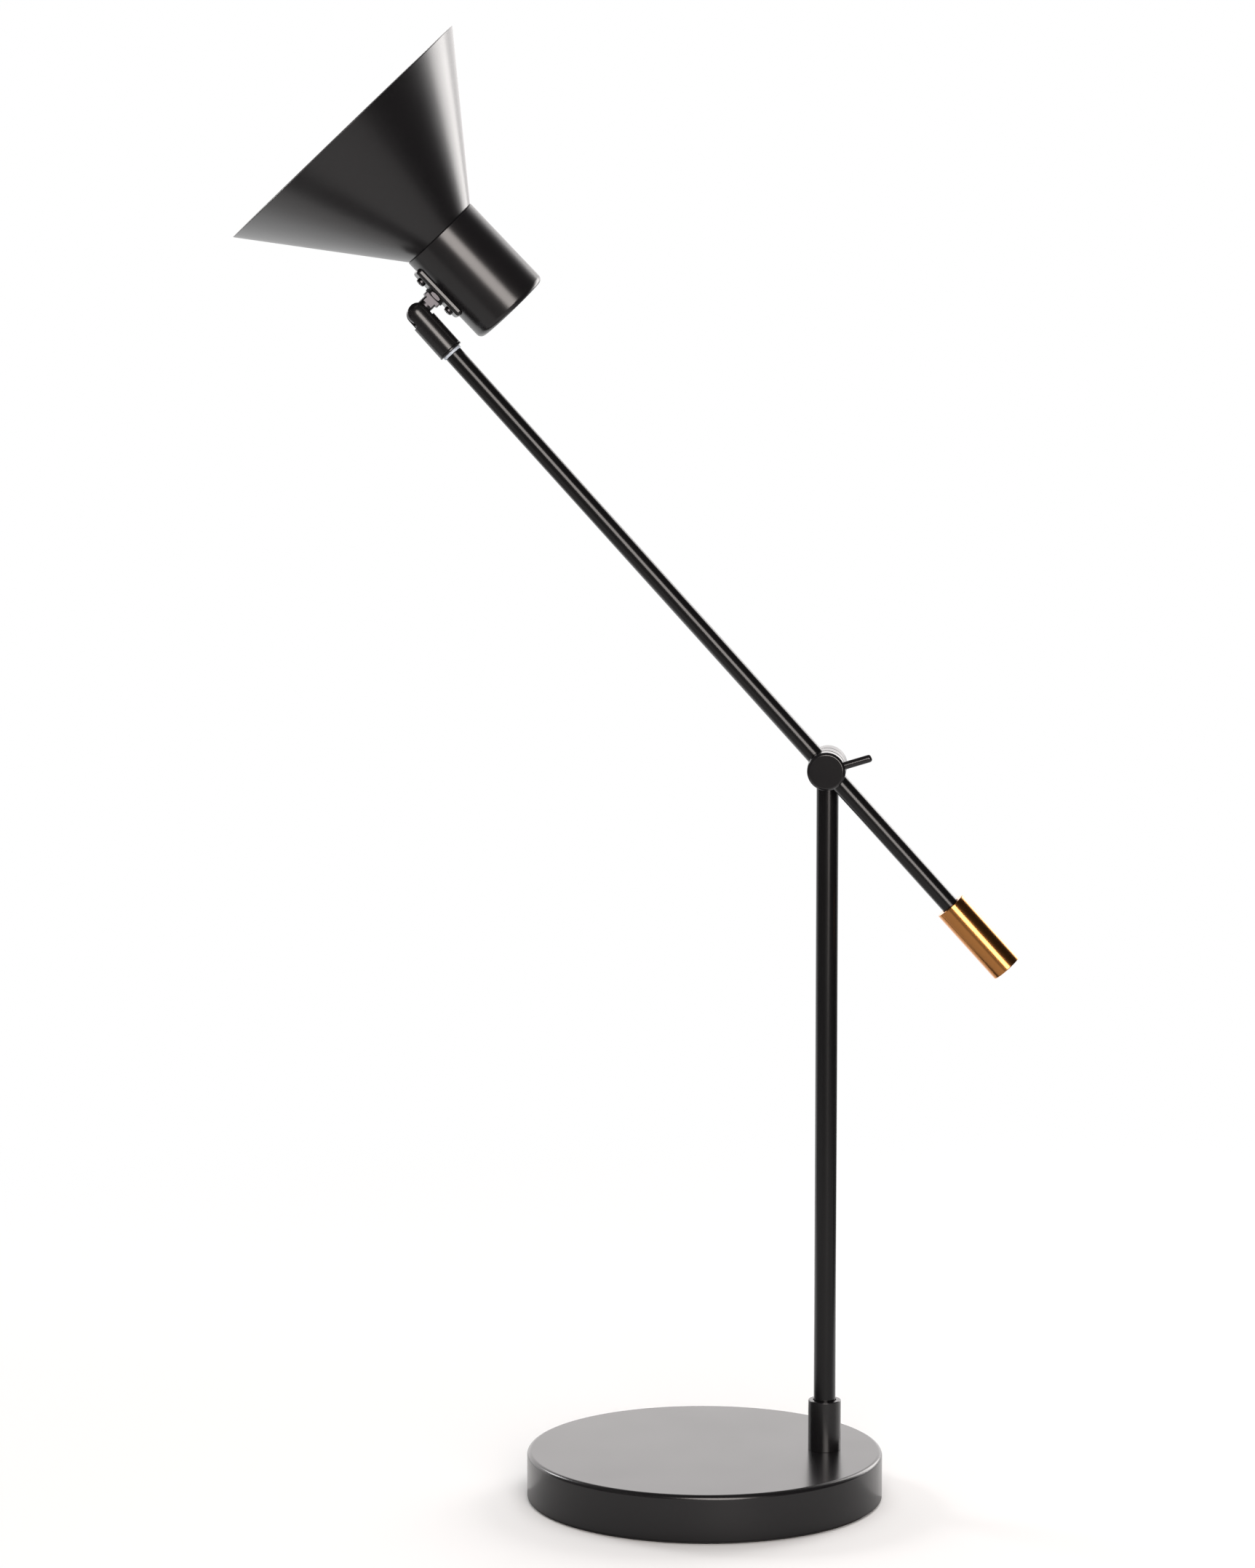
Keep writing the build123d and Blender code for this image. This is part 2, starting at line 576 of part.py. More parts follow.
with BuildPart() as arm_tube:
    with BuildSketch(ARM.offset(ARM_SOCKET)):
        Circle(arm_radius)
        Circle(arm_radius - ARM_WALL, mode=Mode.SUBTRACT)
    extrude(amount=ARM_REACH - arm_tube_end - ARM_SOCKET)

with BuildPart() as counter_rod:
    with BuildSketch(ARM.offset(-ARM_SOCKET)):
        Circle(arm_radius)
    extrude(amount=ARM_SOCKET - weight_rod_end)
    with BuildSketch(ARM.offset(-weight_rod_end)):
        Circle(WEIGHT_SPIGOT_DIAMETER / 2)
    extrude(amount=-WEIGHT_SPIGOT_LENGTH)

with BuildPart() as counterweight:
    with BuildSketch(ARM.offset(-WEIGHT_START)):
        Circle(WEIGHT_DIAMETER / 2)
    extrude(amount=-WEIGHT_LENGTH)
    chamfer(counterweight.edges().filter_by(GeomType.CIRCLE), WEIGHT_CHAMFER)
    with BuildSketch(ARM.offset(-WEIGHT_START)):
        Circle(arm_radius + WEIGHT_COUNTERBORE_MARGIN)
    extrude(amount=-WEIGHT_COUNTERBORE_DEPTH, mode=Mode.SUBTRACT)
    with BuildSketch(ARM.offset(-weight_rod_end)):
        Circle(WEIGHT_SPIGOT_DIAMETER / 2)
    extrude(amount=-WEIGHT_SPIGOT_LENGTH, mode=Mode.SUBTRACT)

# Swivel at the arm's end: spindle in the tube, nylon washer, and a nut inside the knuckle's plug
spindle_top = PLUG_FLOOR - SWIVEL_NUT_HEIGHT - SPINDLE_TAIL
with BuildPart() as swivel_spindle:
    with BuildSketch(KNUCKLE.offset(-arm_tube_end)):
        Circle(arm_radius - ARM_WALL)
    extrude(amount=-SPINDLE_PLUG_LENGTH)
    with BuildSketch(KNUCKLE.offset(-arm_tube_end)):
        Circle(spindle_radius)
    extrude(amount=arm_tube_end - spindle_top)
    with BuildSketch(KNUCKLE.offset(-spindle_top)):
        Circle(SPINDLE_BORE / 2)
    extrude(amount=spindle_top - arm_tube_end - SPINDLE_PLUG_LENGTH, mode=Mode.SUBTRACT)

nylon_washer = washer(
    KNUCKLE.offset(-arm_tube_end), NYLON_DIAMETER, spindle_running_radius, NYLON_THICKNESS
)
swivel_nut = hex_nut(KNUCKLE.offset(-PLUG_FLOOR), SWIVEL_NUT_FLATS, spindle_radius, SWIVEL_NUT_HEIGHT)

# Knuckle: domed capsule, bored for the ball from below, with a slot over its dome from side to side
with BuildPart() as knuckle_body:
    with BuildSketch(side_of(KNUCKLE)):
        with BuildLine():
            dome = CenterArc((0, 0), knuckle_radius, 0, 90)
            Polyline(dome @ 1, (0, -KNUCKLE_LENGTH), (knuckle_radius, -KNUCKLE_LENGTH), dome @ 0)
        make_face()
    revolve(axis=axis_of(KNUCKLE))
    knuckle_rims = knuckle_body.edges().filter_by(GeomType.CIRCLE).sort_by(axis_of(KNUCKLE))
    chamfer(knuckle_rims[0], KNUCKLE_CHAMFER)
    with BuildSketch(side_of(KNUCKLE)):
        with BuildLine():
            socket = CenterArc((0, 0), socket_radius, 0, 90)
            Polyline(
                socket @ 1,
                (0, -KNUCKLE_LENGTH),
                (KNUCKLE_BORE / 2, -KNUCKLE_LENGTH),
                (KNUCKLE_BORE / 2, 0),
                socket @ 0,
            )
        make_face()
    revolve(axis=axis_of(KNUCKLE), mode=Mode.SUBTRACT)
    with BuildSketch(KNUCKLE.offset(-SLOT_DEPTH)):
        Rectangle(2 * KNUCKLE_DIAMETER, SLOT_WIDTH)
    extrude(amount=SLOT_DEPTH + KNUCKLE_DIAMETER, mode=Mode.SUBTRACT)

with BuildPart() as knuckle_plug:
    with BuildSketch(KNUCKLE.offset(-plug_flange_end)):
        Circle(PLUG_FLANGE_DIAMETER / 2)
    extrude(amount=PLUG_FLANGE_THICKNESS)
    chamfer(knuckle_plug.edges().filter_by(GeomType.CIRCLE), PLUG_CHAMFER)
    with BuildSketch(KNUCKLE.offset(-KNUCKLE_LENGTH)):
        Circle(KNUCKLE_BORE / 2)
    extrude(amount=KNUCKLE_LENGTH - PLUG_TOP)
    with BuildSketch(KNUCKLE.offset(-PLUG_FLOOR)):
        Circle(KNUCKLE_BORE / 2 - PLUG_WALL)
    extrude(amount=PLUG_FLOOR - PLUG_TOP, mode=Mode.SUBTRACT)
    with BuildSketch(KNUCKLE.offset(-plug_flange_end)):
        Circle(spindle_running_radius)
    extrude(amount=plug_flange_end - PLUG_FLOOR, mode=Mode.SUBTRACT)

with BuildPart() as ball_seat:
    with BuildSketch(KNUCKLE.offset(-SEAT_BOTTOM)):
        Circle(KNUCKLE_BORE / 2)
        Circle(SEAT_BORE / 2, mode=Mode.SUBTRACT)
    extrude(amount=SEAT_BOTTOM - SEAT_TOP)
    with BuildSketch(side_of(KNUCKLE)):
        with BuildLine():
            bowl = CenterArc((0, 0), socket_radius, -90, 90)
            Polyline(bowl @ 1, (0, 0), bowl @ 0)
        make_face()
    revolve(axis=axis_of(KNUCKLE), mode=Mode.SUBTRACT)

# Two disc springs, rim on the seat and rim on the plug, with their inner edges together
spring_middle = (SEAT_BOTTOM + PLUG_TOP) / 2
with BuildPart() as seat_springs:
    for rim_level, way in ((SEAT_BOTTOM, 1), (PLUG_TOP, -1)):
        inner_level = spring_middle - way * DISC_SPRING_GAP / 2
        with BuildSketch(side_of(KNUCKLE)):
            with BuildLine():
                Polyline(
                    (DISC_SPRING_OUTER / 2, -rim_level),
                    (DISC_SPRING_OUTER / 2, -rim_level - way * DISC_SPRING_THICKNESS),
                    (DISC_SPRING_INNER / 2, -inner_level),
                    (DISC_SPRING_INNER / 2, -inner_level + way * DISC_SPRING_THICKNESS),
                    close=True,
                )
            make_face()
        revolve(axis=axis_of(KNUCKLE))

# Ball stud: ball, neck and flange with two flats, and a hollow thread through the cup's wall
neck_angle = degrees(acos(NECK_DIAMETER / BALL_DIAMETER))
with BuildPart() as ball_stud:
    with BuildSketch(side_of(STUD)):
        with BuildLine():
            ball = CenterArc((0, 0), ball_radius, -90, 90 + neck_angle)
            Polyline(
                ball @ 1,
                (NECK_DIAMETER / 2, NECK_END),
                (STUD_FLANGE_DIAMETER / 2, NECK_END),
                (STUD_FLANGE_DIAMETER / 2, stud_flange_end),
                (stud_thread_radius, stud_flange_end),
                (stud_thread_radius, stud_end),
                (0, stud_end),
                ball @ 0,
            )
        make_face()
    revolve(axis=axis_of(STUD))
    with BuildSketch(STUD.offset(STUD_FLATS_START)):
        with GridLocations(0, STUD_FLATS + STUD_FLANGE_DIAMETER, 1, 2):
            Rectangle(2 * STUD_FLANGE_DIAMETER, STUD_FLANGE_DIAMETER)
    extrude(amount=stud_flange_end - STUD_FLATS_START, mode=Mode.SUBTRACT)
    with BuildSketch(STUD.offset(-BALL_DIAMETER)):
        Circle(STUD_BORE / 2)
    extrude(amount=BALL_DIAMETER + stud_end, mode=Mode.SUBTRACT)

stud_nut = hex_nut(STUD.offset(stud_flange_end), STUD_NUT_FLATS, stud_thread_radius, STUD_NUT_HEIGHT)
stud_inner_nut = hex_nut(
    STUD.offset(inner_washer_face), STUD_NUT_FLATS, stud_thread_radius, INNER_NUT_HEIGHT
)

# Bracket: plate with a flat face and a hollow back that sits on the cup's round wall
with BuildPart() as head_bracket:
    with BuildSketch(STUD.offset(bracket_face)):
        RectangleRounded(BRACKET_LENGTH, BRACKET_WIDTH, BRACKET_CORNER)
        Circle(stud_thread_radius, mode=Mode.SUBTRACT)
        with GridLocations(BRACKET_SCREW_SPACING, 0, 2, 1):
            Circle(BRACKET_SCREW_DIAMETER / 2, mode=Mode.SUBTRACT)
    extrude(amount=cup_radius)
    with BuildSketch(HEAD.offset(-CUP_LENGTH)):
        Circle(cup_radius)
    extrude(amount=2 * CUP_LENGTH, mode=Mode.SUBTRACT)

with BuildPart() as bracket_screws:
    with BuildSketch(STUD.offset(bracket_face)):
        with GridLocations(BRACKET_SCREW_SPACING, 0, 2, 1):
            Circle(BRACKET_SCREW_HEAD / 2)
    extrude(amount=-BRACKET_SCREW_HEAD_HEIGHT)
    head_rims = bracket_screws.edges().filter_by(GeomType.CIRCLE).group_by(axis_of(STUD))[0]
    fillet(head_rims, BRACKET_SCREW_ROUND)
    with BuildSketch(STUD.offset(bracket_face)):
        with GridLocations(BRACKET_SCREW_SPACING, 0, 2, 1):
            Circle(BRACKET_SCREW_DIAMETER / 2)
    extrude(amount=BRACKET_THICKNESS + CUP_WALL + BRACKET_SCREW_TAIL)
    with BuildSketch(STUD.offset(bracket_face - BRACKET_SCREW_HEAD_HEIGHT)):
        with GridLocations(BRACKET_SCREW_SPACING, 0, 2, 1):
            Rectangle(RECESS_LENGTH, RECESS_WIDTH, rotation=RECESS_ANGLE)
            Rectangle(RECESS_WIDTH, RECESS_LENGTH, rotation=RECESS_ANGLE)
    extrude(amount=RECESS_DEPTH, mode=Mode.SUBTRACT)

with BuildPart() as stud_inner_washer:
    with BuildSketch(STUD.offset(cup_wall_outside)):
        Circle(INNER_WASHER_DIAMETER / 2)
    extrude(amount=inner_washer_face - cup_wall_outside)
    with BuildSketch(HEAD.offset(-CUP_LENGTH)):
        Circle(cup_inside)
    extrude(amount=2 * CUP_LENGTH, mode=Mode.INTERSECT)
    with BuildSketch(STUD):
        Circle(stud_thread_radius)
    extrude(amount=stud_end, mode=Mode.SUBTRACT)

# Cup: deep drawn shell, closed at the back, drilled for the stud and the bracket's screws
with BuildPart() as lamp_cup:
    with BuildSketch(HEAD.offset(-CUP_LENGTH)):
        Circle(cup_radius)
    extrude(amount=CUP_LENGTH)
    fillet(lamp_cup.edges().filter_by(GeomType.CIRCLE).sort_by(axis_of(HEAD))[0], CUP_EDGE_RADIUS)
    offset(amount=-CUP_WALL, openings=lamp_cup.faces().sort_by(axis_of(HEAD))[-1])
    seam_edges = lamp_cup.edges().filter_by(GeomType.CIRCLE).group_by(axis_of(HEAD))[-1]
    chamfer(seam_edges.sort_by(SortBy.RADIUS)[-1], CUP_SEAM_CHAMFER)
    with BuildSketch(STUD.offset(bracket_face)):
        Circle(stud_thread_radius)
        with GridLocations(BRACKET_SCREW_SPACING, 0, 2, 1):
            Circle(BRACKET_SCREW_DIAMETER / 2)
    extrude(amount=cup_radius, mode=Mode.SUBTRACT)

# Shade: spun cone with a flange turned in at its neck
neck_hole = holder_thread_radius + HOLDER_THREAD_FIT
rim_radius = SHADE_RIM_DIAMETER / 2
cone_rise = SHADE_LENGTH - CUP_SEAM_CHAMFER
cone_run = rim_radius - cup_radius
wall_run = SHADE_WALL * sqrt(cone_rise**2 + cone_run**2) / cone_rise
neck_inside = cup_radius - wall_run + (SHADE_FLANGE - CUP_SEAM_CHAMFER) * cone_run / cone_rise
with BuildPart() as shade:
    with BuildSketch(side_of(HEAD)):
        with BuildLine():
            Polyline(
                (neck_hole, 0),
                (cup_radius - CUP_SEAM_CHAMFER, 0),
                (cup_radius, CUP_SEAM_CHAMFER),
                (rim_radius, SHADE_LENGTH),
                (rim_radius - wall_run, SHADE_LENGTH),
                (neck_inside, SHADE_FLANGE),
                (neck_hole, SHADE_FLANGE),
                close=True,
            )
        make_face()
    revolve(axis=axis_of(HEAD))

with BuildPart() as shade_ring:
    with BuildSketch(HEAD.offset(SHADE_FLANGE)):
        Circle(SHADE_RING_DIAMETER / 2)
        Circle(holder_thread_radius, mode=Mode.SUBTRACT)
        with PolarLocations(SHADE_RING_DIAMETER / 2, SHADE_RING_NOTCHES):
            Circle(SHADE_RING_NOTCH / 2, mode=Mode.SUBTRACT)
    extrude(amount=SHADE_RING_HEIGHT)

# Lampholder: moulded body, thread shell, centre contact, and the screws and spacers behind it
with BuildPart() as holder_body:
    with BuildSketch(side_of(HEAD)):
        with BuildLine():
            Polyline(
                (0, -HOLDER_LENGTH),
                (HOLDER_BODY_DIAMETER / 2, -HOLDER_LENGTH),
                (HOLDER_BODY_DIAMETER / 2, -HOLDER_SKIRT),
                (holder_thread_radius, -HOLDER_SKIRT),
                (holder_thread_radius, -HOLDER_SHOULDER),
                (HOLDER_SHOULDER_DIAMETER / 2, -HOLDER_SHOULDER),
                (HOLDER_SHOULDER_DIAMETER / 2, 0),
                (holder_thread_radius, 0),
                (holder_thread_radius, HOLDER_THREAD_SHOW),
                (shell_radius + SHELL_WALL, HOLDER_THREAD_SHOW),
                (shell_radius + SHELL_WALL, -HOLDER_FLOOR),
                (0, -HOLDER_FLOOR),
                close=True,
            )
        make_face()
    revolve(axis=axis_of(HEAD))
    with BuildSketch(HEAD.offset(-HOLDER_LENGTH)):
        with GridLocations(0, 2 * HOLDER_SCREW_OFFSET, 1, 2):
            Circle(HOLDER_SCREW_DIAMETER / 2)
    extrude(amount=HOLDER_LENGTH, mode=Mode.SUBTRACT)

with BuildPart() as thread_shell:
    with BuildSketch(HEAD.offset(-SHELL_START)):
        Circle(shell_radius + SHELL_WALL)
        Circle(shell_radius, mode=Mode.SUBTRACT)
    extrude(amount=SHELL_START + SHELL_END)

with BuildPart() as centre_contact:
    with BuildSketch(HEAD.offset(-HOLDER_FLOOR)):
        Circle(CONTACT_DIAMETER / 2)
    extrude(amount=CONTACT_THICKNESS)
    with BuildSketch(HEAD.offset(-HOLDER_FLOOR)):
        Circle(CONTACT_PIP / 2)
    extrude(amount=CONTACT_THICKNESS + CONTACT_PIP_HEIGHT)

spacer_length = CUP_LENGTH - CUP_WALL - HOLDER_LENGTH
with BuildPart() as holder_spacers:
    with BuildSketch(HEAD.offset(-HOLDER_LENGTH)):
        with GridLocations(0, 2 * HOLDER_SCREW_OFFSET, 1, 2):
            Circle(SPACER_DIAMETER / 2)
            Circle(HOLDER_SCREW_DIAMETER / 2, mode=Mode.SUBTRACT)
    extrude(amount=-spacer_length)

with BuildPart() as holder_screws:
    with BuildSketch(HEAD.offset(-HOLDER_FLOOR)):
        with GridLocations(0, 2 * HOLDER_SCREW_OFFSET, 1, 2):
            Circle(HOLDER_SCREW_HEAD / 2)
    extrude(amount=HOLDER_SCREW_HEAD_HEIGHT)
    with BuildSketch(HEAD.offset(-HOLDER_FLOOR)):
        with GridLocations(0, 2 * HOLDER_SCREW_OFFSET, 1, 2):
            Circle(HOLDER_SCREW_DIAMETER / 2)
    extrude(amount=HOLDER_FLOOR - HOLDER_LENGTH - HOLDER_SCREW_GRIP)

# One file for each piece
PIECES = {
    "base_cover": base_cover,
    "base_ballast": base_ballast,
    "base_plate": base_plate,
    "base_plate_screws": base_plate_screws,
    "foot_pad": foot_pad,
    "cord_inlet_bush": cord_inlet_bush,
    "post_collar": post_collar,
    "collar_bush": collar_bush,
    "collar_spigot": collar_spigot,
    "post_thrust_washer": post_thrust_washer,
    "collar_washer": collar_washer,
    "collar_nut": collar_nut,
    "collar_grub_screw": collar_grub_screw,
    "post_tube": post_tube,
    "post_head": post_head,
    "pivot_screw": pivot_screw,
    "pivot_cap": pivot_cap,
    "rear_friction_washer": rear_friction_washer,
    "clamp_knob": clamp_knob,
    "knob_insert": knob_insert,
    "front_friction_washer": front_friction_washer,
    "clamp_lever": clamp_lever,
    "arm_barrel": arm_barrel,
    "arm_tube": arm_tube,
    "counter_rod": counter_rod,
    "counterweight": counterweight,
    "swivel_spindle": swivel_spindle,
    "nylon_washer": nylon_washer,
    "swivel_nut": swivel_nut,
    "knuckle_body": knuckle_body,
    "knuckle_plug": knuckle_plug,
    "ball_seat": ball_seat,
    "seat_springs": seat_springs,
    "ball_stud": ball_stud,
    "stud_nut": stud_nut,
    "stud_inner_nut": stud_inner_nut,
    "stud_inner_washer": stud_inner_washer,
    "head_bracket": head_bracket,
    "bracket_screws": bracket_screws,
    "lamp_cup": lamp_cup,
    "shade": shade,
    "shade_ring": shade_ring,
    "holder_body": holder_body,
    "thread_shell": thread_shell,
    "centre_contact": centre_contact,
    "holder_spacers": holder_spacers,
    "holder_screws": holder_screws,
}

os.makedirs("parts", exist_ok=True)
for name, piece in PIECES.items():
    piece.part.label = name
    export_step(piece.part, f"parts/{name}.step")
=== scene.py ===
"""Desk lamp with a counterweighted arm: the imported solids, dressed piece by piece."""

import json
import logging
import math
from dataclasses import dataclass
from enum import Enum, IntEnum
from typing import Any, Callable, ClassVar, NamedTuple, Sequence, Union

import bmesh
import bpy
from mathutils import Matrix, Quaternion, Vector

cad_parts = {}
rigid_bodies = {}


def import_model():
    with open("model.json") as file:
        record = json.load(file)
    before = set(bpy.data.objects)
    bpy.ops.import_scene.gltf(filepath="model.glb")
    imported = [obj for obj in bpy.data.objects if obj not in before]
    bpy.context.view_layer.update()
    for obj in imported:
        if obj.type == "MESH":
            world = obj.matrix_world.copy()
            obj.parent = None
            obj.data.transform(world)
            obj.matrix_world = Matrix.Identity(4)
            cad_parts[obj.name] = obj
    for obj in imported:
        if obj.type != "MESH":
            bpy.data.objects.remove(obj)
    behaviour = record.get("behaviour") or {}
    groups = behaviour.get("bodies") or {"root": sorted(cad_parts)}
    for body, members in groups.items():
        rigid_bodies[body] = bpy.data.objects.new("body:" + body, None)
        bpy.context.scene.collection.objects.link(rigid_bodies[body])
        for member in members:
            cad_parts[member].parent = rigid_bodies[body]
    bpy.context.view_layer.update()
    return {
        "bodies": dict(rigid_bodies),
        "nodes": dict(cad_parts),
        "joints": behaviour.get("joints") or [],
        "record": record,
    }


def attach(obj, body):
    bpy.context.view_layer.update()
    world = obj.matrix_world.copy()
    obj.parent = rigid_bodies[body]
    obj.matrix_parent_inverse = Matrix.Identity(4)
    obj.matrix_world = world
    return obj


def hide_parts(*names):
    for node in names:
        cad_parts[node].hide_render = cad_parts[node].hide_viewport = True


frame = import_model()

LOG = logging.getLogger("desk_lamp")
FULL_TURN = 2 * math.pi

# A millimetre and the distance within which points are one, in metres
MM = 0.001
WELD = 1e-6

# The gap between faces that run on each other and the small roundings of edges, in millimetres
RUNNING_GAP = 0.03
CRISP = 0.2
BROKEN = 0.3
SOFT = 0.4

# What a full rounding leaves of its corner's sides, in millimetres
HAIR = 0.001

Piece = bpy.types.Object
Colour = tuple[float, float, float]
Place = tuple[float, float, float]
Pair = tuple[float, float]


class Part(Enum):
    """The lamp's moving sub-assemblies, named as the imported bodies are."""

    BASE = "base"
    POST = "post"
    CLAMP = "clamp"
    ARM = "arm"
    KNUCKLE = "knuckle"
    HEAD = "head"


class Slot(Enum):
    """The record's material slots."""

    COVER = "black_cover"
    TURNED = "black_turned"
    SHADE = "black_shade"
    NICKEL = "dark_nickel"
    BRASS = "brass"
    RUBBER = "rubber"
    NYLON = "nylon"


class Facets(IntEnum):
    """Facets round the axis of a turned piece, by its girth."""

    SCREW = 48
    STUD = 64
    TUBE = 96
    WEIGHT = 128
    DRUM = 160
    CUP = 192
    SHADE = 256


class LightShape(Enum):
    """Outlines of a soft light."""

    OBLONG = "RECTANGLE"
    OVAL = "ELLIPSE"


class Corner(NamedTuple):
    """One corner of a turned outline, in millimetres.

    Attributes:
        radius: Distance out from the turning axis.
        height: Distance along the turning axis.
        round: How far the corner is rounded back along its two sides.
        segments: Facets in the rounding.
    """

    radius: float
    height: float
    round: float = 0.0
    segments: int = 3

    def point(self) -> Vector:
        """Returns the corner's place in the XZ plane, in metres."""
        return Vector((self.radius * MM, 0, self.height * MM))


def sleeve(
    bore: float, radius: float, ends: Pair, rounds: Pair = (0.0, 0.0), segments: int = 3
) -> list[Corner]:
    """Outlines a sleeve, or a rod where the bore is nought.

    Args:
        bore: Inner radius.
        radius: Outer radius.
        ends: Heights of its foot and its top.
        rounds: Roundings of the outer edge, at the foot and at the top.
        segments: Facets in a rounding.

    Returns:
        Its corners.
    """
    foot, top = ends
    outer = [Corner(radius, height, edge, segments) for height, edge in zip(ends, rounds)]
    return [Corner(bore, foot), *outer, Corner(bore, top)]


@dataclass(frozen=True)
class Stand:
    """A place to build on, whose Z runs along a piece's axis."""

    origin: Vector
    axis: Vector
    out: Vector

    def matrix(self) -> Matrix:
        """Returns the transform from this stand's own axes to the lamp's frame."""
        across = self.axis.cross(self.out)
        turn = Matrix((self.out, across, self.axis)).transposed().to_4x4()
        return Matrix.Translation(self.origin) @ turn

    def at(self, distance: float, out: float = 0.0, across: float = 0.0) -> "Stand":
        """Returns the same stand, moved.

        Args:
            distance: Move along the axis, in millimetres.
            out: Move along the out direction, in millimetres.
            across: Move square to both, in millimetres.

        Returns:
            The moved stand.
        """
        side = self.axis.cross(self.out)
        move = self.axis * distance + self.out * out + side * across
        return Stand(self.origin + move * MM, self.axis, self.out)

    def flipped(self) -> "Stand":
        """Returns the stand with its axis the other way."""
        return Stand(self.origin, -self.axis, self.out)


class LampFrame:
    """The stands of the sub-assemblies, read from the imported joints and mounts. Sizes in millimetres."""

    SHELL_MIDDLE = -9.5
    LEVER_ANGLE = math.radians(17.0)
    LEVER_LEVEL = 4.5

    def __init__(self, packed: dict[str, Any]) -> None:
        """Reads the stands.
        """
        joints = {joint["name"]: joint for joint in packed["joints"]}
        mounts = {mount["name"]: mount for mount in packed["record"]["mounts"]}
        right = Vector((1, 0, 0))
        up = Vector((0, 0, 1))
        self.base = Stand(Vector((0, 0, 0)), up, right)
        self.post = Stand(Vector(joints["post_swivel"]["pos_m"]), up, right)
        arm_middle = Vector(joints["arm_tilt"]["pos_m"])
        pivot = Vector((self.post.origin.x, self.post.origin.y, arm_middle.z))
        self.pivot = Stand(pivot, Vector((0, -1, 0)), right)
        tilt = self.LEVER_ANGLE
        lever_way = Vector((math.cos(tilt), 0, math.sin(tilt)))
        self.clamp = Stand(Vector(joints["clamp_turn"]["pos_m"]), self.pivot.axis, right)
        self.lever = Stand(self.clamp.at(self.LEVER_LEVEL).origin, lever_way, self.pivot.axis)
        arm_way = Vector(joints["head_swivel"]["axis"]).normalized()
        self.arm = Stand(arm_middle, arm_way, Vector((arm_way.z, 0, -arm_way.x)))
        self.barrel = Stand(arm_middle, self.pivot.axis, right)
        ball = Vector(joints["head_tilt"]["pos_m"])
        swing = Vector(joints["head_tilt"]["axis"]).normalized()
        self.knuckle = Stand(ball, arm_way, arm_way.cross(swing).normalized())
        head_way = Vector(mounts["bulb_socket"]["axis"]).normalized()
        shell = Vector(mounts["bulb_socket"]["pos_m"])
        foot = shell + head_way * (ball - shell).dot(head_way)
        stud_way = (foot - ball).normalized()
        self.stud = Stand(ball, stud_way, head_way)
        self.head = Stand(shell - head_way * self.SHELL_MIDDLE * MM, head_way, -stud_way)
        inlet = Vector(mounts["lead_inlet"]["pos_m"])
        self.inlet = Stand(inlet, Vector(mounts["lead_inlet"]["axis"]), right)


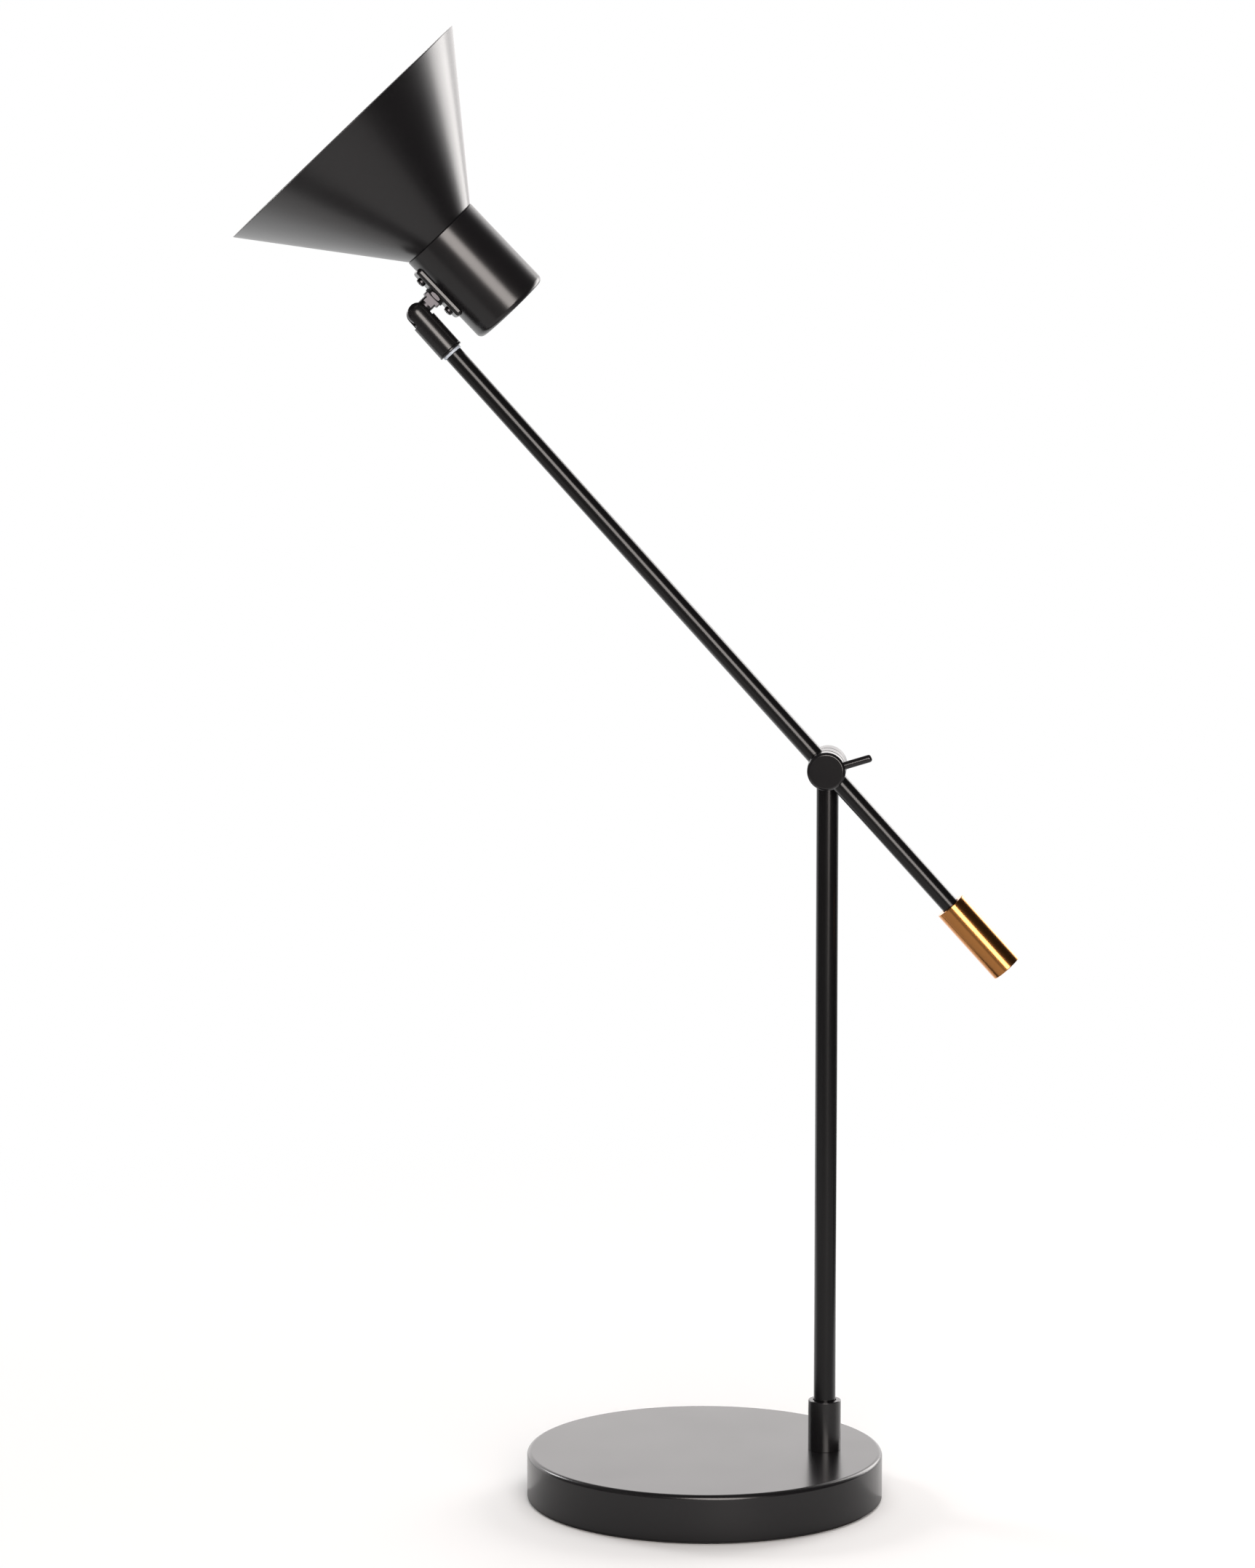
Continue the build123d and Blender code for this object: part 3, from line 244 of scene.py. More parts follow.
class Bench:
    """Hand tools: each one works in edit mode or with an applied modifier, and leaves a settled mesh."""

    SHARP_ANGLE = math.radians(35.0)
    SMOOTH_ANGLE = math.radians(30.0)

    @staticmethod
    def clear() -> None:
        """Leaves edit mode and deselects everything."""
        if bpy.context.object and bpy.context.object.mode != "OBJECT":
            bpy.ops.object.mode_set(mode="OBJECT")
        bpy.ops.object.select_all(action="DESELECT")

    @classmethod
    def hold(cls, piece: Piece) -> None:
        """Selects one piece and makes it active.

        Args:
            piece: The piece.
        """
        cls.clear()
        piece.select_set(True)
        bpy.context.view_layer.objects.active = piece

    @staticmethod
    def started(name: str) -> Piece:
        """Names the primitive that was just added.

        Args:
            name: Its name.

        Returns:
            The new piece.
        """
        piece = bpy.context.object
        piece.name = name
        piece.data.name = name
        return piece

    @staticmethod
    def apply_place() -> None:
        """Applies the held piece's place, turn and scale to its mesh."""
        bpy.ops.object.transform_apply(location=True, rotation=True, scale=True)

    @classmethod
    def settle(cls, piece: Piece, stand: Stand) -> Piece:
        """Carries a piece from its own axes to its stand, and applies the place to the mesh.

        Args:
            piece: The piece.
            stand: Where it goes.

        Returns:
            The piece.
        """
        cls.hold(piece)
        piece.matrix_world = stand.matrix() @ piece.matrix_world
        cls.apply_place()
        return piece

    @staticmethod
    def pick(piece: Piece, corners: Sequence[Corner]) -> None:
        """Selects the vertices of a traced outline that lie on some corners.

        Args:
            piece: The piece, in edit mode.
            corners: The corners.
        """
        bpy.ops.mesh.select_all(action="DESELECT")
        mesh = bmesh.from_edit_mesh(piece.data)
        for vertex in mesh.verts:
            vertex.select = any((vertex.co - corner.point()).length < WELD for corner in corners)
        mesh.select_flush_mode()
        bmesh.update_edit_mesh(piece.data)

    @classmethod
    def trace(cls, name: str, outline: Sequence[Corner]) -> Piece:
        """Starts a piece as a line of extruded points in the XZ plane, and stays in edit mode.

        Args:
            name: The new piece's name.
            outline: Corners in order.

        Returns:
            The piece, in edit mode.
        """
        cls.clear()
        bpy.ops.mesh.primitive_plane_add(size=MM, location=(0, 0, 0))
        piece = cls.started(name)
        bpy.ops.object.mode_set(mode="EDIT")
        bpy.context.tool_settings.mesh_select_mode = (True, False, False)
        bpy.ops.mesh.select_all(action="SELECT")
        bpy.ops.mesh.merge(type="CENTER")
        place = Vector((0, 0, 0))
        for index, corner in enumerate(outline):
            step = {"value": corner.point() - place}
            if index == 0:
                bpy.ops.transform.translate(**step)
            else:
                bpy.ops.mesh.extrude_vertices_move(TRANSFORM_OT_translate=step)
            place = corner.point()
        return piece

    @classmethod
    def turn(
        cls, name: str, outline: Sequence[Corner], stand: Stand, facets: Facets = Facets.TUBE
    ) -> Piece:
        """Turns an outline about a stand's axis, as on a lathe.

        Args:
            name: The new piece's name.
            outline: Corners in order. It is closed to a ring unless both its ends are on the axis.
            stand: Where the piece goes.
            facets: Facets round the axis.

        Returns:
            The finished piece.
        """
        piece = cls.trace(name, outline)
        ends = (outline[0], outline[-1])
        if any(corner.radius > 0 for corner in ends):
            cls.pick(piece, ends)
            bpy.ops.mesh.edge_face_add()
        for corner in outline:
            if corner.round > 0:
                cls.pick(piece, [corner])
                bpy.ops.mesh.bevel(
                    offset=corner.round * MM, segments=corner.segments, affect="VERTICES", profile=0.5
                )
        bpy.ops.mesh.select_all(action="SELECT")
        bpy.ops.mesh.spin(steps=int(facets), angle=FULL_TURN, center=(0, 0, 0), axis=(0, 0, 1))
        cls.weld()
        return cls.settle(piece, stand)

    @staticmethod
    def weld() -> None:
        """Merges what meets, turns the faces outwards and leaves edit mode."""
        bpy.ops.mesh.select_all(action="SELECT")
        bpy.ops.mesh.remove_doubles(threshold=WELD)
        bpy.ops.mesh.normals_make_consistent(inside=False)
        bpy.ops.object.mode_set(mode="OBJECT")

    @classmethod
    def trim(cls, piece: Piece, level: float, above: bool) -> None:
        """Cuts a piece off square at a level of its own Z, in millimetres.

        Args:
            piece: The piece.
            level: Where the cut is.
            above: Whether what is above it goes, or what is below.
        """
        cls.hold(piece)
        bpy.ops.object.mode_set(mode="EDIT")
        bpy.ops.mesh.select_all(action="SELECT")
        bpy.ops.mesh.bisect(
            plane_co=(0, 0, level * MM), plane_no=(0, 0, 1), clear_outer=above, clear_inner=not above
        )
        bpy.ops.object.mode_set(mode="OBJECT")

    @classmethod
    def block(cls, name: str, size: Sequence[float], stand: Stand) -> Piece:
        """Adds a block centred on a stand.

        Args:
            name: The block's name.
            size: Its sides in millimetres: out, across and along the axis.
            stand: Where its middle goes.

        Returns:
            The block.
        """
        cls.clear()
        bpy.ops.mesh.primitive_cube_add(size=1)
        piece = cls.started(name)
        piece.scale = [side * MM for side in size]
        cls.apply_place()
        return cls.settle(piece, stand)

    @classmethod
    def round_edges(
        cls, piece: Piece, wanted: Callable[[Vector, Vector], bool], radius: float, segments: int
    ) -> None:
        """Rounds some edges of a piece.

        Args:
            piece: The piece.
            wanted: Test of an edge's two ends.
            radius: Radius in millimetres.
            segments: Facets in the rounding.
        """
        cls.hold(piece)
        bpy.ops.object.mode_set(mode="EDIT")
        bpy.context.tool_settings.mesh_select_mode = (False, True, False)
        bpy.ops.mesh.select_all(action="DESELECT")
        mesh = bmesh.from_edit_mesh(piece.data)
        for edge in mesh.edges:
            edge.select = wanted(*(vertex.co for vertex in edge.verts))
        bmesh.update_edit_mesh(piece.data)
        bpy.ops.mesh.bevel(offset=radius * MM, segments=segments, affect="EDGES")
        bpy.ops.object.mode_set(mode="OBJECT")

    @classmethod
    def modify(cls, piece: Piece, kind: str, **settings: Any) -> None:
        """Adds a modifier and applies it.

        Args:
            piece: The piece.
            kind: The modifier's type.
            settings: Its properties.
        """
        cls.hold(piece)
        modifier = piece.modifiers.new(kind.title(), kind)
        for key, value in settings.items():
            setattr(modifier, key, value)
        bpy.ops.object.modifier_apply(modifier=modifier.name)

    @classmethod
    def cut(cls, piece: Piece, *cutters: Piece) -> None:
        """Cuts the shape of each cutter out of a piece, and throws the cutters away.

        Args:
            piece: The piece.
            cutters: The cutters, in order.
        """
        for cutter in cutters:
            cls.modify(piece, "BOOLEAN", object=cutter, operation="DIFFERENCE", solver="EXACT")
            mesh = cutter.data
            bpy.data.objects.remove(cutter)
            bpy.data.meshes.remove(mesh)

    @classmethod
    def soften(cls, piece: Piece, width: float) -> None:
        """Breaks a piece's sharp edges by a small width in millimetres."""
        limit = {"limit_method": "ANGLE", "angle_limit": cls.SHARP_ANGLE}
        cls.modify(piece, "BEVEL", width=width * MM, segments=2, harden_normals=False, **limit)

    @classmethod
    def smooth(cls, piece: Piece) -> None:
        """Shades a piece smooth where its faces meet at a blunt angle, and keeps its flats flat.

        Args:
            piece: The piece.
        """
        cls.hold(piece)
        bpy.ops.object.shade_smooth_by_angle(angle=cls.SMOOTH_ANGLE)
        cls.modify(piece, "WEIGHTED_NORMAL", keep_sharp=True)

    @classmethod
    def pair(cls, piece: Piece, move: Vector) -> Piece:
        """Copies a piece to a second place and joins the copy to it.

        Args:
            piece: The piece.
            move: From the first place to the second, in metres.

        Returns:
            Both, as one piece.
        """
        twin = piece.copy()
        twin.data = piece.data.copy()
        bpy.context.scene.collection.objects.link(twin)
        cls.hold(twin)
        twin.location = move
        cls.apply_place()
        cls.hold(piece)
        twin.select_set(True)
        bpy.ops.object.join()
        return piece


class Wire:
    """A socket that carries a value, with arithmetic that adds Math nodes."""

    def __init__(self, graph: "ShaderGraph", socket: bpy.types.NodeSocket | None) -> None:
        """Wraps an output socket of a graph."""
        self.graph = graph
        self.socket = socket

    def _math(self, operation: str, first: "Value", second: "Value") -> "Wire":
        """Adds one Math node on two values."""
        return self.graph.node("ShaderNodeMath", {"operation": operation}, {0: first, 1: second})

    def __add__(self, other: "Value") -> "Wire":
        """Sum."""
        return self._math("ADD", self, other)

    __radd__ = __add__

    def __sub__(self, other: "Value") -> "Wire":
        """Difference."""
        return self._math("SUBTRACT", self, other)

    def __rsub__(self, other: "Value") -> "Wire":
        """Difference, the other way round."""
        return self._math("SUBTRACT", other, self)

    def __mul__(self, other: "Value") -> "Wire":
        """Product."""
        return self._math("MULTIPLY", self, other)

    __rmul__ = __mul__

    def __pow__(self, other: "Value") -> "Wire":
        """Power."""
        return self._math("POWER", self, other)

    def __lt__(self, other: "Value") -> "Wire":
        """One where this is less than the other, and nought elsewhere."""
        return self._math("LESS_THAN", self, other)

    def __gt__(self, other: "Value") -> "Wire":
        """One where this is greater than the other, and nought elsewhere."""
        return self._math("GREATER_THAN", self, other)

    def largest(self, other: "Value") -> "Wire":
        """The larger of two values."""
        return self._math("MAXIMUM", self, other)


Value = Union[Wire, float]


class Layer(NamedTuple):
    """One noise of a finish.

    Attributes:
        scale: Scale to the metre.
        detail: Detail of the noise.
        roughness: Roughness of that detail.
        tone: Share in the tone of the colour.
        drift: How far it moves the sheen.
        height: Share in the height of the bump.
        ringed: Whether it changes only along the axis, as marks of a lathe do.
    """

    scale: float
    detail: float = 2.0
    roughness: float = 0.5
    tone: float = 0.0
    drift: float = 0.0
    height: float = 0.0
    ringed: bool = False


class ShaderGraph:
    """A node tree under construction, for a material or the world."""

    def __init__(self, tree: bpy.types.NodeTree) -> None:
        """Empties a node tree to build in."""
        self.tree = tree
        tree.nodes.clear()

    def node(
        self,
        kind: str,
        settings: dict[str, Any] | None = None,
        inputs: dict[Any, Any] | None = None,
        out: Any = 0,
    ) -> Wire:
        """Adds a node.

        Args:
            kind: The node's type.
            settings: Its properties.
            inputs: Values or wires, by socket name or number.
            out: The output that is wanted, by name or number.

        Returns:
            That output. A node with no outputs gives a wire with no socket.
        """
        made = self.tree.nodes.new(kind)
        for key, value in (settings or {}).items():
            setattr(made, key, value)
        for key, value in (inputs or {}).items():
            if isinstance(value, Wire):
                self.tree.links.new(value.socket, made.inputs[key])
            else:
                made.inputs[key].default_value = value
        return Wire(self, made.outputs[out] if len(made.outputs) else None)

    def coordinates(self, stand: Stand | None = None) -> Wire:
        """Adds Object coordinates.

        Args:
            stand: Whose own axes they are turned to; without one they are the lamp's.

        Returns:
            The coordinates.
        """
        place = self.node("ShaderNodeTexCoord", out="Object")
        if stand is None:
            return place
        matrix = stand.matrix()
        axes = {"Location": matrix.to_translation(), "Rotation": matrix.to_euler()}
        return self.node("ShaderNodeMapping", {"vector_type": "TEXTURE"}, {"Vector": place, **axes})

    def noise(self, place: Wire, layer: Layer) -> Wire:
        """Adds a layer's noise.

        Args:
            place: The coordinates.
            layer: The layer.

        Returns:
            The noise, from nought to one.
        """
        if layer.ringed:
            place = self.node("ShaderNodeCombineXYZ", inputs={"Z": self.split(place, "Z")})
        shape = {"Scale": layer.scale, "Detail": layer.detail, "Roughness": layer.roughness}
        return self.node("ShaderNodeTexNoise", inputs={"Vector": place, **shape})

    @staticmethod
    def total(values: Sequence[Wire], shares: Sequence[float]) -> Wire:
        """Adds up values by their shares, without those whose share is nought."""
        parts = [value * share for value, share in zip(values, shares) if share]
        return sum(parts[1:], parts[0])

    def split(self, vector: Wire, part: str) -> Wire:
        """One of a vector's X, Y and Z."""
        return self.node("ShaderNodeSeparateXYZ", inputs={0: vector}, out=part)

    def fade(self, value: Wire, band: Pair, levels: Pair = (0.0, 1.0)) -> Wire:
        """Goes smoothly from one level to another as a value crosses a band.

        Args:
            value: The value.
            band: Where the change starts and ends.
            levels: What it goes from and to.

        Returns:
            The level.
        """
        names = ("From Min", "From Max", "To Min", "To Max")
        limits = dict(zip(names, (*band, *levels)))
        return self.node(
            "ShaderNodeMapRange", {"interpolation_type": "SMOOTHSTEP"}, {"Value": value, **limits}
        )

    def blend(self, share: Value, first: Any, second: Any) -> Wire:
        """Mixes two colours.

        Args:
            share: How much of the second.
            first: A colour or a wire.
            second: A colour or a wire.

        Returns:
            The mixed colour.
        """
        colours = {6: first, 7: second}
        for key, value in colours.items():
            if not isinstance(value, Wire):
                colours[key] = (*value, 1.0)
        return self.node("ShaderNodeMix", {"data_type": "RGBA"}, {0: share, **colours}, out=2)

    def mix(self, share: Value, first: Wire, second: Wire) -> Wire:
        """Mixes two shaders by a share of the second."""
        return self.node("ShaderNodeMixShader", inputs={0: share, 1: first, 2: second})

    def bump(self, height: Wire, strength: float, depth: float) -> Wire:
        """Bumps the normal.

        Args:
            height: From nought to one.
            strength: Share of the effect.
            depth: What a height of one stands for, in millimetres.

        Returns:
            The normal.
        """
        return self.node(
            "ShaderNodeBump", inputs={"Height": height, "Strength": strength, "Distance": depth * MM}
        )


def shaded(colour: Colour, level: float) -> Colour:
    """Returns a lighter or darker tone of a colour."""
    return tuple(level * part for part in colour)


def new_material(name: str, surface: Callable[[ShaderGraph], Wire]) -> bpy.types.Material:
    """Makes a material.

    Args:
        name: Its name.
        surface: Builds its shader in the graph that it is given.

    Returns:
        The material.
    """
    made = bpy.data.materials.new(name)
    made.use_nodes = True
    graph = ShaderGraph(made.node_tree)
    graph.node("ShaderNodeOutputMaterial", inputs={"Surface": surface(graph)})
    return made


@dataclass(frozen=True)
class Finish:
    """A surface finish; each kind paints its own nodes."""

    name: str

    def material(self) -> bpy.types.Material:
        """Makes the finish's material once, and returns it."""
        label = f"{self.name}_finish"
        return bpy.data.materials.get(label) or new_material(label, self.surface)

    def surface(self, graph: ShaderGraph) -> Wire:
        """Builds the finish's shader."""
        return graph.node("ShaderNodeBsdfPrincipled", inputs=self.paint(graph))

    def paint(self, graph: ShaderGraph) -> dict[str, Any]:
        """Builds the nodes.

        Args:
            graph: The material's nodes.

        Returns:
            Values and wires for the surface shader's sockets.
        """
        raise NotImplementedError


@dataclass(frozen=True)
class Layered(Finish):
    """A finish of one colour, varied by layers of noise.

    Attributes:
        colour: Its colour.
        sheen: Roughness, before the layers move it either way.
        layers: The noises.
        tones: Levels of the colour, from one to the other.
        bump: Strength of the bump.
        depth: Height of the bump in millimetres.
        metal: How far it is metal.
        gloss: Level of its mirror where it isn't metal.
        stand: Whose axes the layers follow; without one they follow the lamp's.
    """

    colour: Colour
    sheen: float
    layers: tuple[Layer, ...]
    tones: Pair
    bump: float
    depth: float
    metal: float = 0.0
    gloss: float = 0.5
    stand: Stand | None = None

    def paint(self, graph: ShaderGraph) -> dict[str, Any]:
        """Builds the layers.

        Args:
            graph: The material's nodes.

        Returns:
            Values and wires for the surface shader's sockets.
        """
        place = graph.coordinates(self.stand)
        noises = [graph.noise(place, layer) for layer in self.layers]
        tone = graph.total(noises, [layer.tone for layer in self.layers])
        drift = graph.total(noises, [layer.drift for layer in self.layers])
        height = graph.total(noises, [layer.height for layer in self.layers])
        middle = sum(layer.drift for layer in self.layers) / 2
        first, second = (shaded(self.colour, level) for level in self.tones)
        return {
            "Base Color": graph.blend(tone, first, second),
            "Metallic": self.metal,
            "Roughness": drift + (self.sheen - middle),
            "Specular IOR Level": self.gloss,
            "Normal": graph.bump(height, self.bump, self.depth),
        }


@dataclass(frozen=True)
class ShadePaint(Finish):
    """The shade's paint: black powder coat outside and matt white enamel inside. Sizes in millimetres."""

    stand: Stand
    neck: float
    slope: float
    depth: float
    outside: Layered
    inside: Colour = (0.72, 0.71, 0.69)
    dust_tone: float = 0.94
    dust: Layer = Layer(60.0)
    duller: float = 0.16

    def paint(self, graph: ShaderGraph) -> dict[str, Any]:
        """Builds both coats, parted along the middle of the wall and short of the rim.

        Args:
            graph: The material's nodes.

        Returns:
            Values and wires for the surface shader's sockets.
        """
        sockets = self.outside.paint(graph)
        place = graph.coordinates(self.stand)
        out_x, out_y, along = (graph.split(place, part) for part in "XYZ")
        reach = (out_x * out_x + out_y * out_y) ** 0.5
        within = (reach < along * self.slope + self.neck * MM) * (along < self.depth * MM)
        dust = graph.noise(graph.coordinates(), self.dust)
        white = graph.blend(dust, self.inside, shaded(self.inside, self.dust_tone))
        sockets["Base Color"] = graph.blend(within, sockets["Base Color"], white)
        sockets["Roughness"] = sockets["Roughness"] + within * self.duller
        return sockets


class Finishes:
    """All of the lamp's finishes."""

    PEEL = (Layer(28.0, tone=0.6, drift=0.05), Layer(1300.0, height=1.0), Layer(4200.0, 1.0, tone=0.4))
    RINGS = (
        Layer(2600.0, 3.0, 0.7, tone=0.4, drift=0.04, height=0.6, ringed=True),
        Layer(9000.0, height=0.4, ringed=True),
        Layer(45.0, tone=0.6, drift=0.04),
    )
    CLOUDS = (Layer(160.0, 3.0, tone=1.0, drift=0.06), Layer(2400.0, drift=0.02, height=1.0))
    SAND = (Layer(35.0, 3.0, tone=1.0), Layer(420.0, 5.0, 0.65, drift=0.2, height=1.0))
    BLACK = (0.0050, 0.0047, 0.0052)
    TUBE_BLACK = (0.0030, 0.0029, 0.0032)

    def __init__(self, stands: LampFrame) -> None:
        """Sets the finishes up.

        Args:
            stands: Give their direction to the finishes that have one.
        """
        self.black = self.powder("satin_black", self.BLACK, 0.25)
        self.black_base = self.powder("satin_black_base", self.BLACK, 0.24)
        self.lacquer = self.powder("black_lacquer", self.BLACK, 0.15)
        self.tube = self.powder("black_tube", self.TUBE_BLACK, 0.21, 0.34)
        self.shade = ShadePaint(
            "shade_paint", stands.head, neck=22.3, slope=0.7836, depth=74.2, outside=self.black
        )
        self.brass = self.turned("satin_brass", stands.arm, (0.50, 0.215, 0.066), 0.19)
        self.shell_brass = self.turned("shell_brass", stands.head, (0.62, 0.44, 0.18), 0.25)
        self.insert_brass = self.turned("insert_brass", stands.pivot, (0.55, 0.38, 0.15), 0.3)
        self.nickel = self.plated("dark_nickel", (0.057, 0.054, 0.058), 0.34)
        self.screw = self.plated("black_nickel", (0.050, 0.047, 0.050), 0.25)
        self.zinc = self.plated("zinc_plate", (0.58, 0.58, 0.60), 0.35)
        iron = (0.10, 0.10, 0.105)
        skin = {"tones": (1.0, 0.6), "bump": 0.8, "depth": 0.15, "metal": 0.6}
        self.iron = Layered("grey_iron", iron, 0.65, self.SAND, **skin)
        self.rubber = self.moulded("black_rubber", (0.013, 0.013, 0.013), 0.75, 900.0, 0.05)
        self.fibre = self.moulded("black_fibre", (0.012, 0.012, 0.012), 0.85, 1400.0, 0.05)
        self.nylon = self.moulded("natural_nylon", (0.42, 0.46, 0.52), 0.42, 700.0, 0.01)
        self.acetal = self.moulded("black_acetal", (0.010, 0.010, 0.010), 0.45, 600.0, 0.01)
        self.bakelite = self.moulded("black_bakelite", (0.012, 0.011, 0.011), 0.28, 300.0, 0.01)

    def powder(self, name: str, colour: Colour, sheen: float, gloss: float = 0.5) -> Layered:
        """Satin powder coat: a fine orange peel and slow changes of sheen."""
        skin = {"tones": (1.0, 1.28), "bump": 0.6, "depth": 0.001, "gloss": gloss}
        return Layered(name, colour, sheen, self.PEEL, **skin)

    def turned(self, name: str, stand: Stand, colour: Colour, sheen: float) -> Layered:
        """Lacquered metal off the lathe: fine rings along the axis and a slow change of tone."""
        skin = {"tones": (0.88, 1.0), "bump": 0.5, "depth": 0.0012, "metal": 1.0}
        return Layered(name, colour, sheen, self.RINGS, stand=stand, **skin)

    def plated(self, name: str, colour: Colour, sheen: float) -> Layered:
        """Plated steel: faint clouding and fine marks."""
        skin = {"tones": (1.0, 0.86), "bump": 0.4, "depth": 0.001, "metal": 1.0}
        return Layered(name, colour, sheen, self.CLOUDS, **skin)

    def moulded(self, name: str, colour: Colour, sheen: float, scale: float, depth: float) -> Layered:
        """Moulded plastic or rubber: a fine texture."""
        grain = (Layer(70.0, tone=0.7), Layer(scale, 3.0, tone=0.3, drift=0.1, height=1.0))
        return Layered(name, colour, sheen, grain, tones=(1.0, 0.85), bump=0.6, depth=depth)


@dataclass
class SubAssembly:
    """A rigid group of pieces: builds its new meshes and dresses what the CAD shows."""

    part: ClassVar[Part]
    stands: LampFrame
    finishes: Finishes

    def dress(self, piece: Piece, finish: Finish, slot: Slot, node: str) -> None:
        """Smooths a new piece, gives it its finish and body, and puts it in a CAD node's place.

        Args:
            piece: The finished mesh.
            finish: Its coating.
            slot: The record's material slot; not used.
            node: The CAD node that it stands for.
        """
        Bench.smooth(piece)
        piece.data.materials.clear()
        piece.data.materials.append(finish.material())
        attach(piece, self.part.value)
        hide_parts(node)
        LOG.info("%s: %s, %d faces", self.part.value, piece.name, len(piece.data.polygons))

    def coat(self, finish: Finish, *nodes: str) -> None:
        """Gives CAD nodes that stay a finish.

        Args:
            finish: Their coating.
            nodes: The CAD nodes.
        """
        for name in nodes:
            node = frame["nodes"][name]
            if not node.material_slots:
                node.data.materials.append(None)
            for slot in node.material_slots:
                slot.material = finish.material()
            LOG.info("%s: %s keeps its solid", self.part.value, name)

    def build(self) -> None:
        """Builds and dresses the group."""
        raise NotImplementedError


@dataclass
class BaseGroup(SubAssembly):
    """Weighted round base with the collar for the post. Sizes in millimetres."""

    part: ClassVar[Part] = Part.BASE
    radius: float = 98.0
    height: float = 27.0
    wall: float = 1.5
    lift: float = 1.5
    edge: float = 2.5
    hem: float = 0.45
    inner_edge: float = 1.0
    pad_radius: float = 96.0
    pad_height: float = 3.0
    pad_edge: float = 0.7
    groove_insets: tuple[float, ...] = (46.0, 12.0)
    groove_depth: float = 0.5
    groove_half: float = 1.6
    groove_floor_half: float = 1.0
    collar_radius: float = 9.0
    collar_height: float = 28.0
    collar_edge: float = 0.5
    collar_bore: float = 7.0
    collar_lip: float = 2.5
    lip_bore: float = 6.4
    bush_bore: float = 3.25
    bush_throat: float = 4.5
    bush_lip: float = 5.2
    bush_flange: float = 6.25
    bush_levels: tuple[float, ...] = (-3.0, -1.8, -0.2, 1.6)
    bush_flange_edge: float = 0.8
    bush_mouth: float = 0.5

    def build(self) -> None:
        """Builds the cover, pad, collar and inlet bush, and dresses the inner pieces."""
        self.build_cover()
        self.build_pad()
        self.build_collar()
        self.build_bush()
        self.coat(self.finishes.iron, "base_ballast")
        self.coat(self.finishes.zinc, "base_plate", "base_plate_screws")
        self.coat(self.finishes.zinc, "collar_spigot", "collar_washer", "collar_nut")
        self.coat(self.finishes.screw, "collar_grub_screw")
        self.coat(self.finishes.nylon, "collar_bush", "post_thrust_washer")

    def build_cover(self) -> None:
        """Spins the cover: rounded top edge and a small round on its lower rim."""
        inside = self.radius - self.wall
        ceiling = self.height - self.wall
        outline = [
            Corner(0, self.height),
            Corner(self.radius, self.height, self.edge, 10),
            Corner(self.radius, self.lift, self.hem),
            Corner(inside, self.lift, self.hem),
            Corner(inside, ceiling, self.inner_edge, 4),
            Corner(0, ceiling),
        ]
        cover = Bench.turn("cover", outline, self.stands.base, Facets.SHADE)
        self.dress(cover, self.finishes.black_base, Slot.COVER, "base_cover")

    def build_pad(self) -> None:
        """Turns the pad, with two shallow rings in its underside."""
        rim, top = self.pad_radius, self.pad_height
        outline = [Corner(0, 0)]
        for inset in self.groove_insets:
            middle = rim - inset
            outline += [
                Corner(middle - self.groove_half, 0),
                Corner(middle - self.groove_floor_half, self.groove_depth),
                Corner(middle + self.groove_floor_half, self.groove_depth),
                Corner(middle + self.groove_half, 0),
            ]
        outline += [Corner(rim, 0, self.pad_edge), Corner(rim, top, BROKEN), Corner(0, top)]
        pad = Bench.turn("pad", outline, self.stands.base, Facets.CUP)
        self.dress(pad, self.finishes.rubber, Slot.RUBBER, "foot_pad")

    def build_collar(self) -> None:
        """Turns the collar, with a clear ring between its lip and the post."""
        top = self.collar_height
        outline = [
            Corner(self.collar_bore, 0),
            Corner(self.collar_radius, 0, CRISP),
            Corner(self.collar_radius, top, self.collar_edge),
            Corner(self.lip_bore, top, CRISP),
            Corner(self.lip_bore, top - self.collar_lip),
            Corner(self.collar_bore, top - self.collar_lip),
        ]
        collar = Bench.turn("collar", outline, self.stands.post)
        self.dress(collar, self.finishes.black, Slot.TURNED, "post_collar")

    def build_bush(self) -> None:
        """Turns the inlet bush: a round-edged flange against the wall and a throat with a soft mouth."""
        tail, lip, wall, face = self.bush_levels
        outline = [
            Corner(self.bush_bore, tail),
            Corner(self.bush_lip, tail, SOFT),
            Corner(self.bush_lip, lip, BROKEN),
            Corner(self.bush_throat, lip),
            Corner(self.bush_throat, wall),
            Corner(self.bush_flange, wall),
            Corner(self.bush_flange, face, self.bush_flange_edge, 5),
            Corner(self.bush_bore, face, self.bush_mouth, 5),
        ]
        bush = Bench.turn("inlet_bush", outline, self.stands.inlet, Facets.STUD)
        self.dress(bush, self.finishes.rubber, Slot.RUBBER, "cord_inlet_bush")


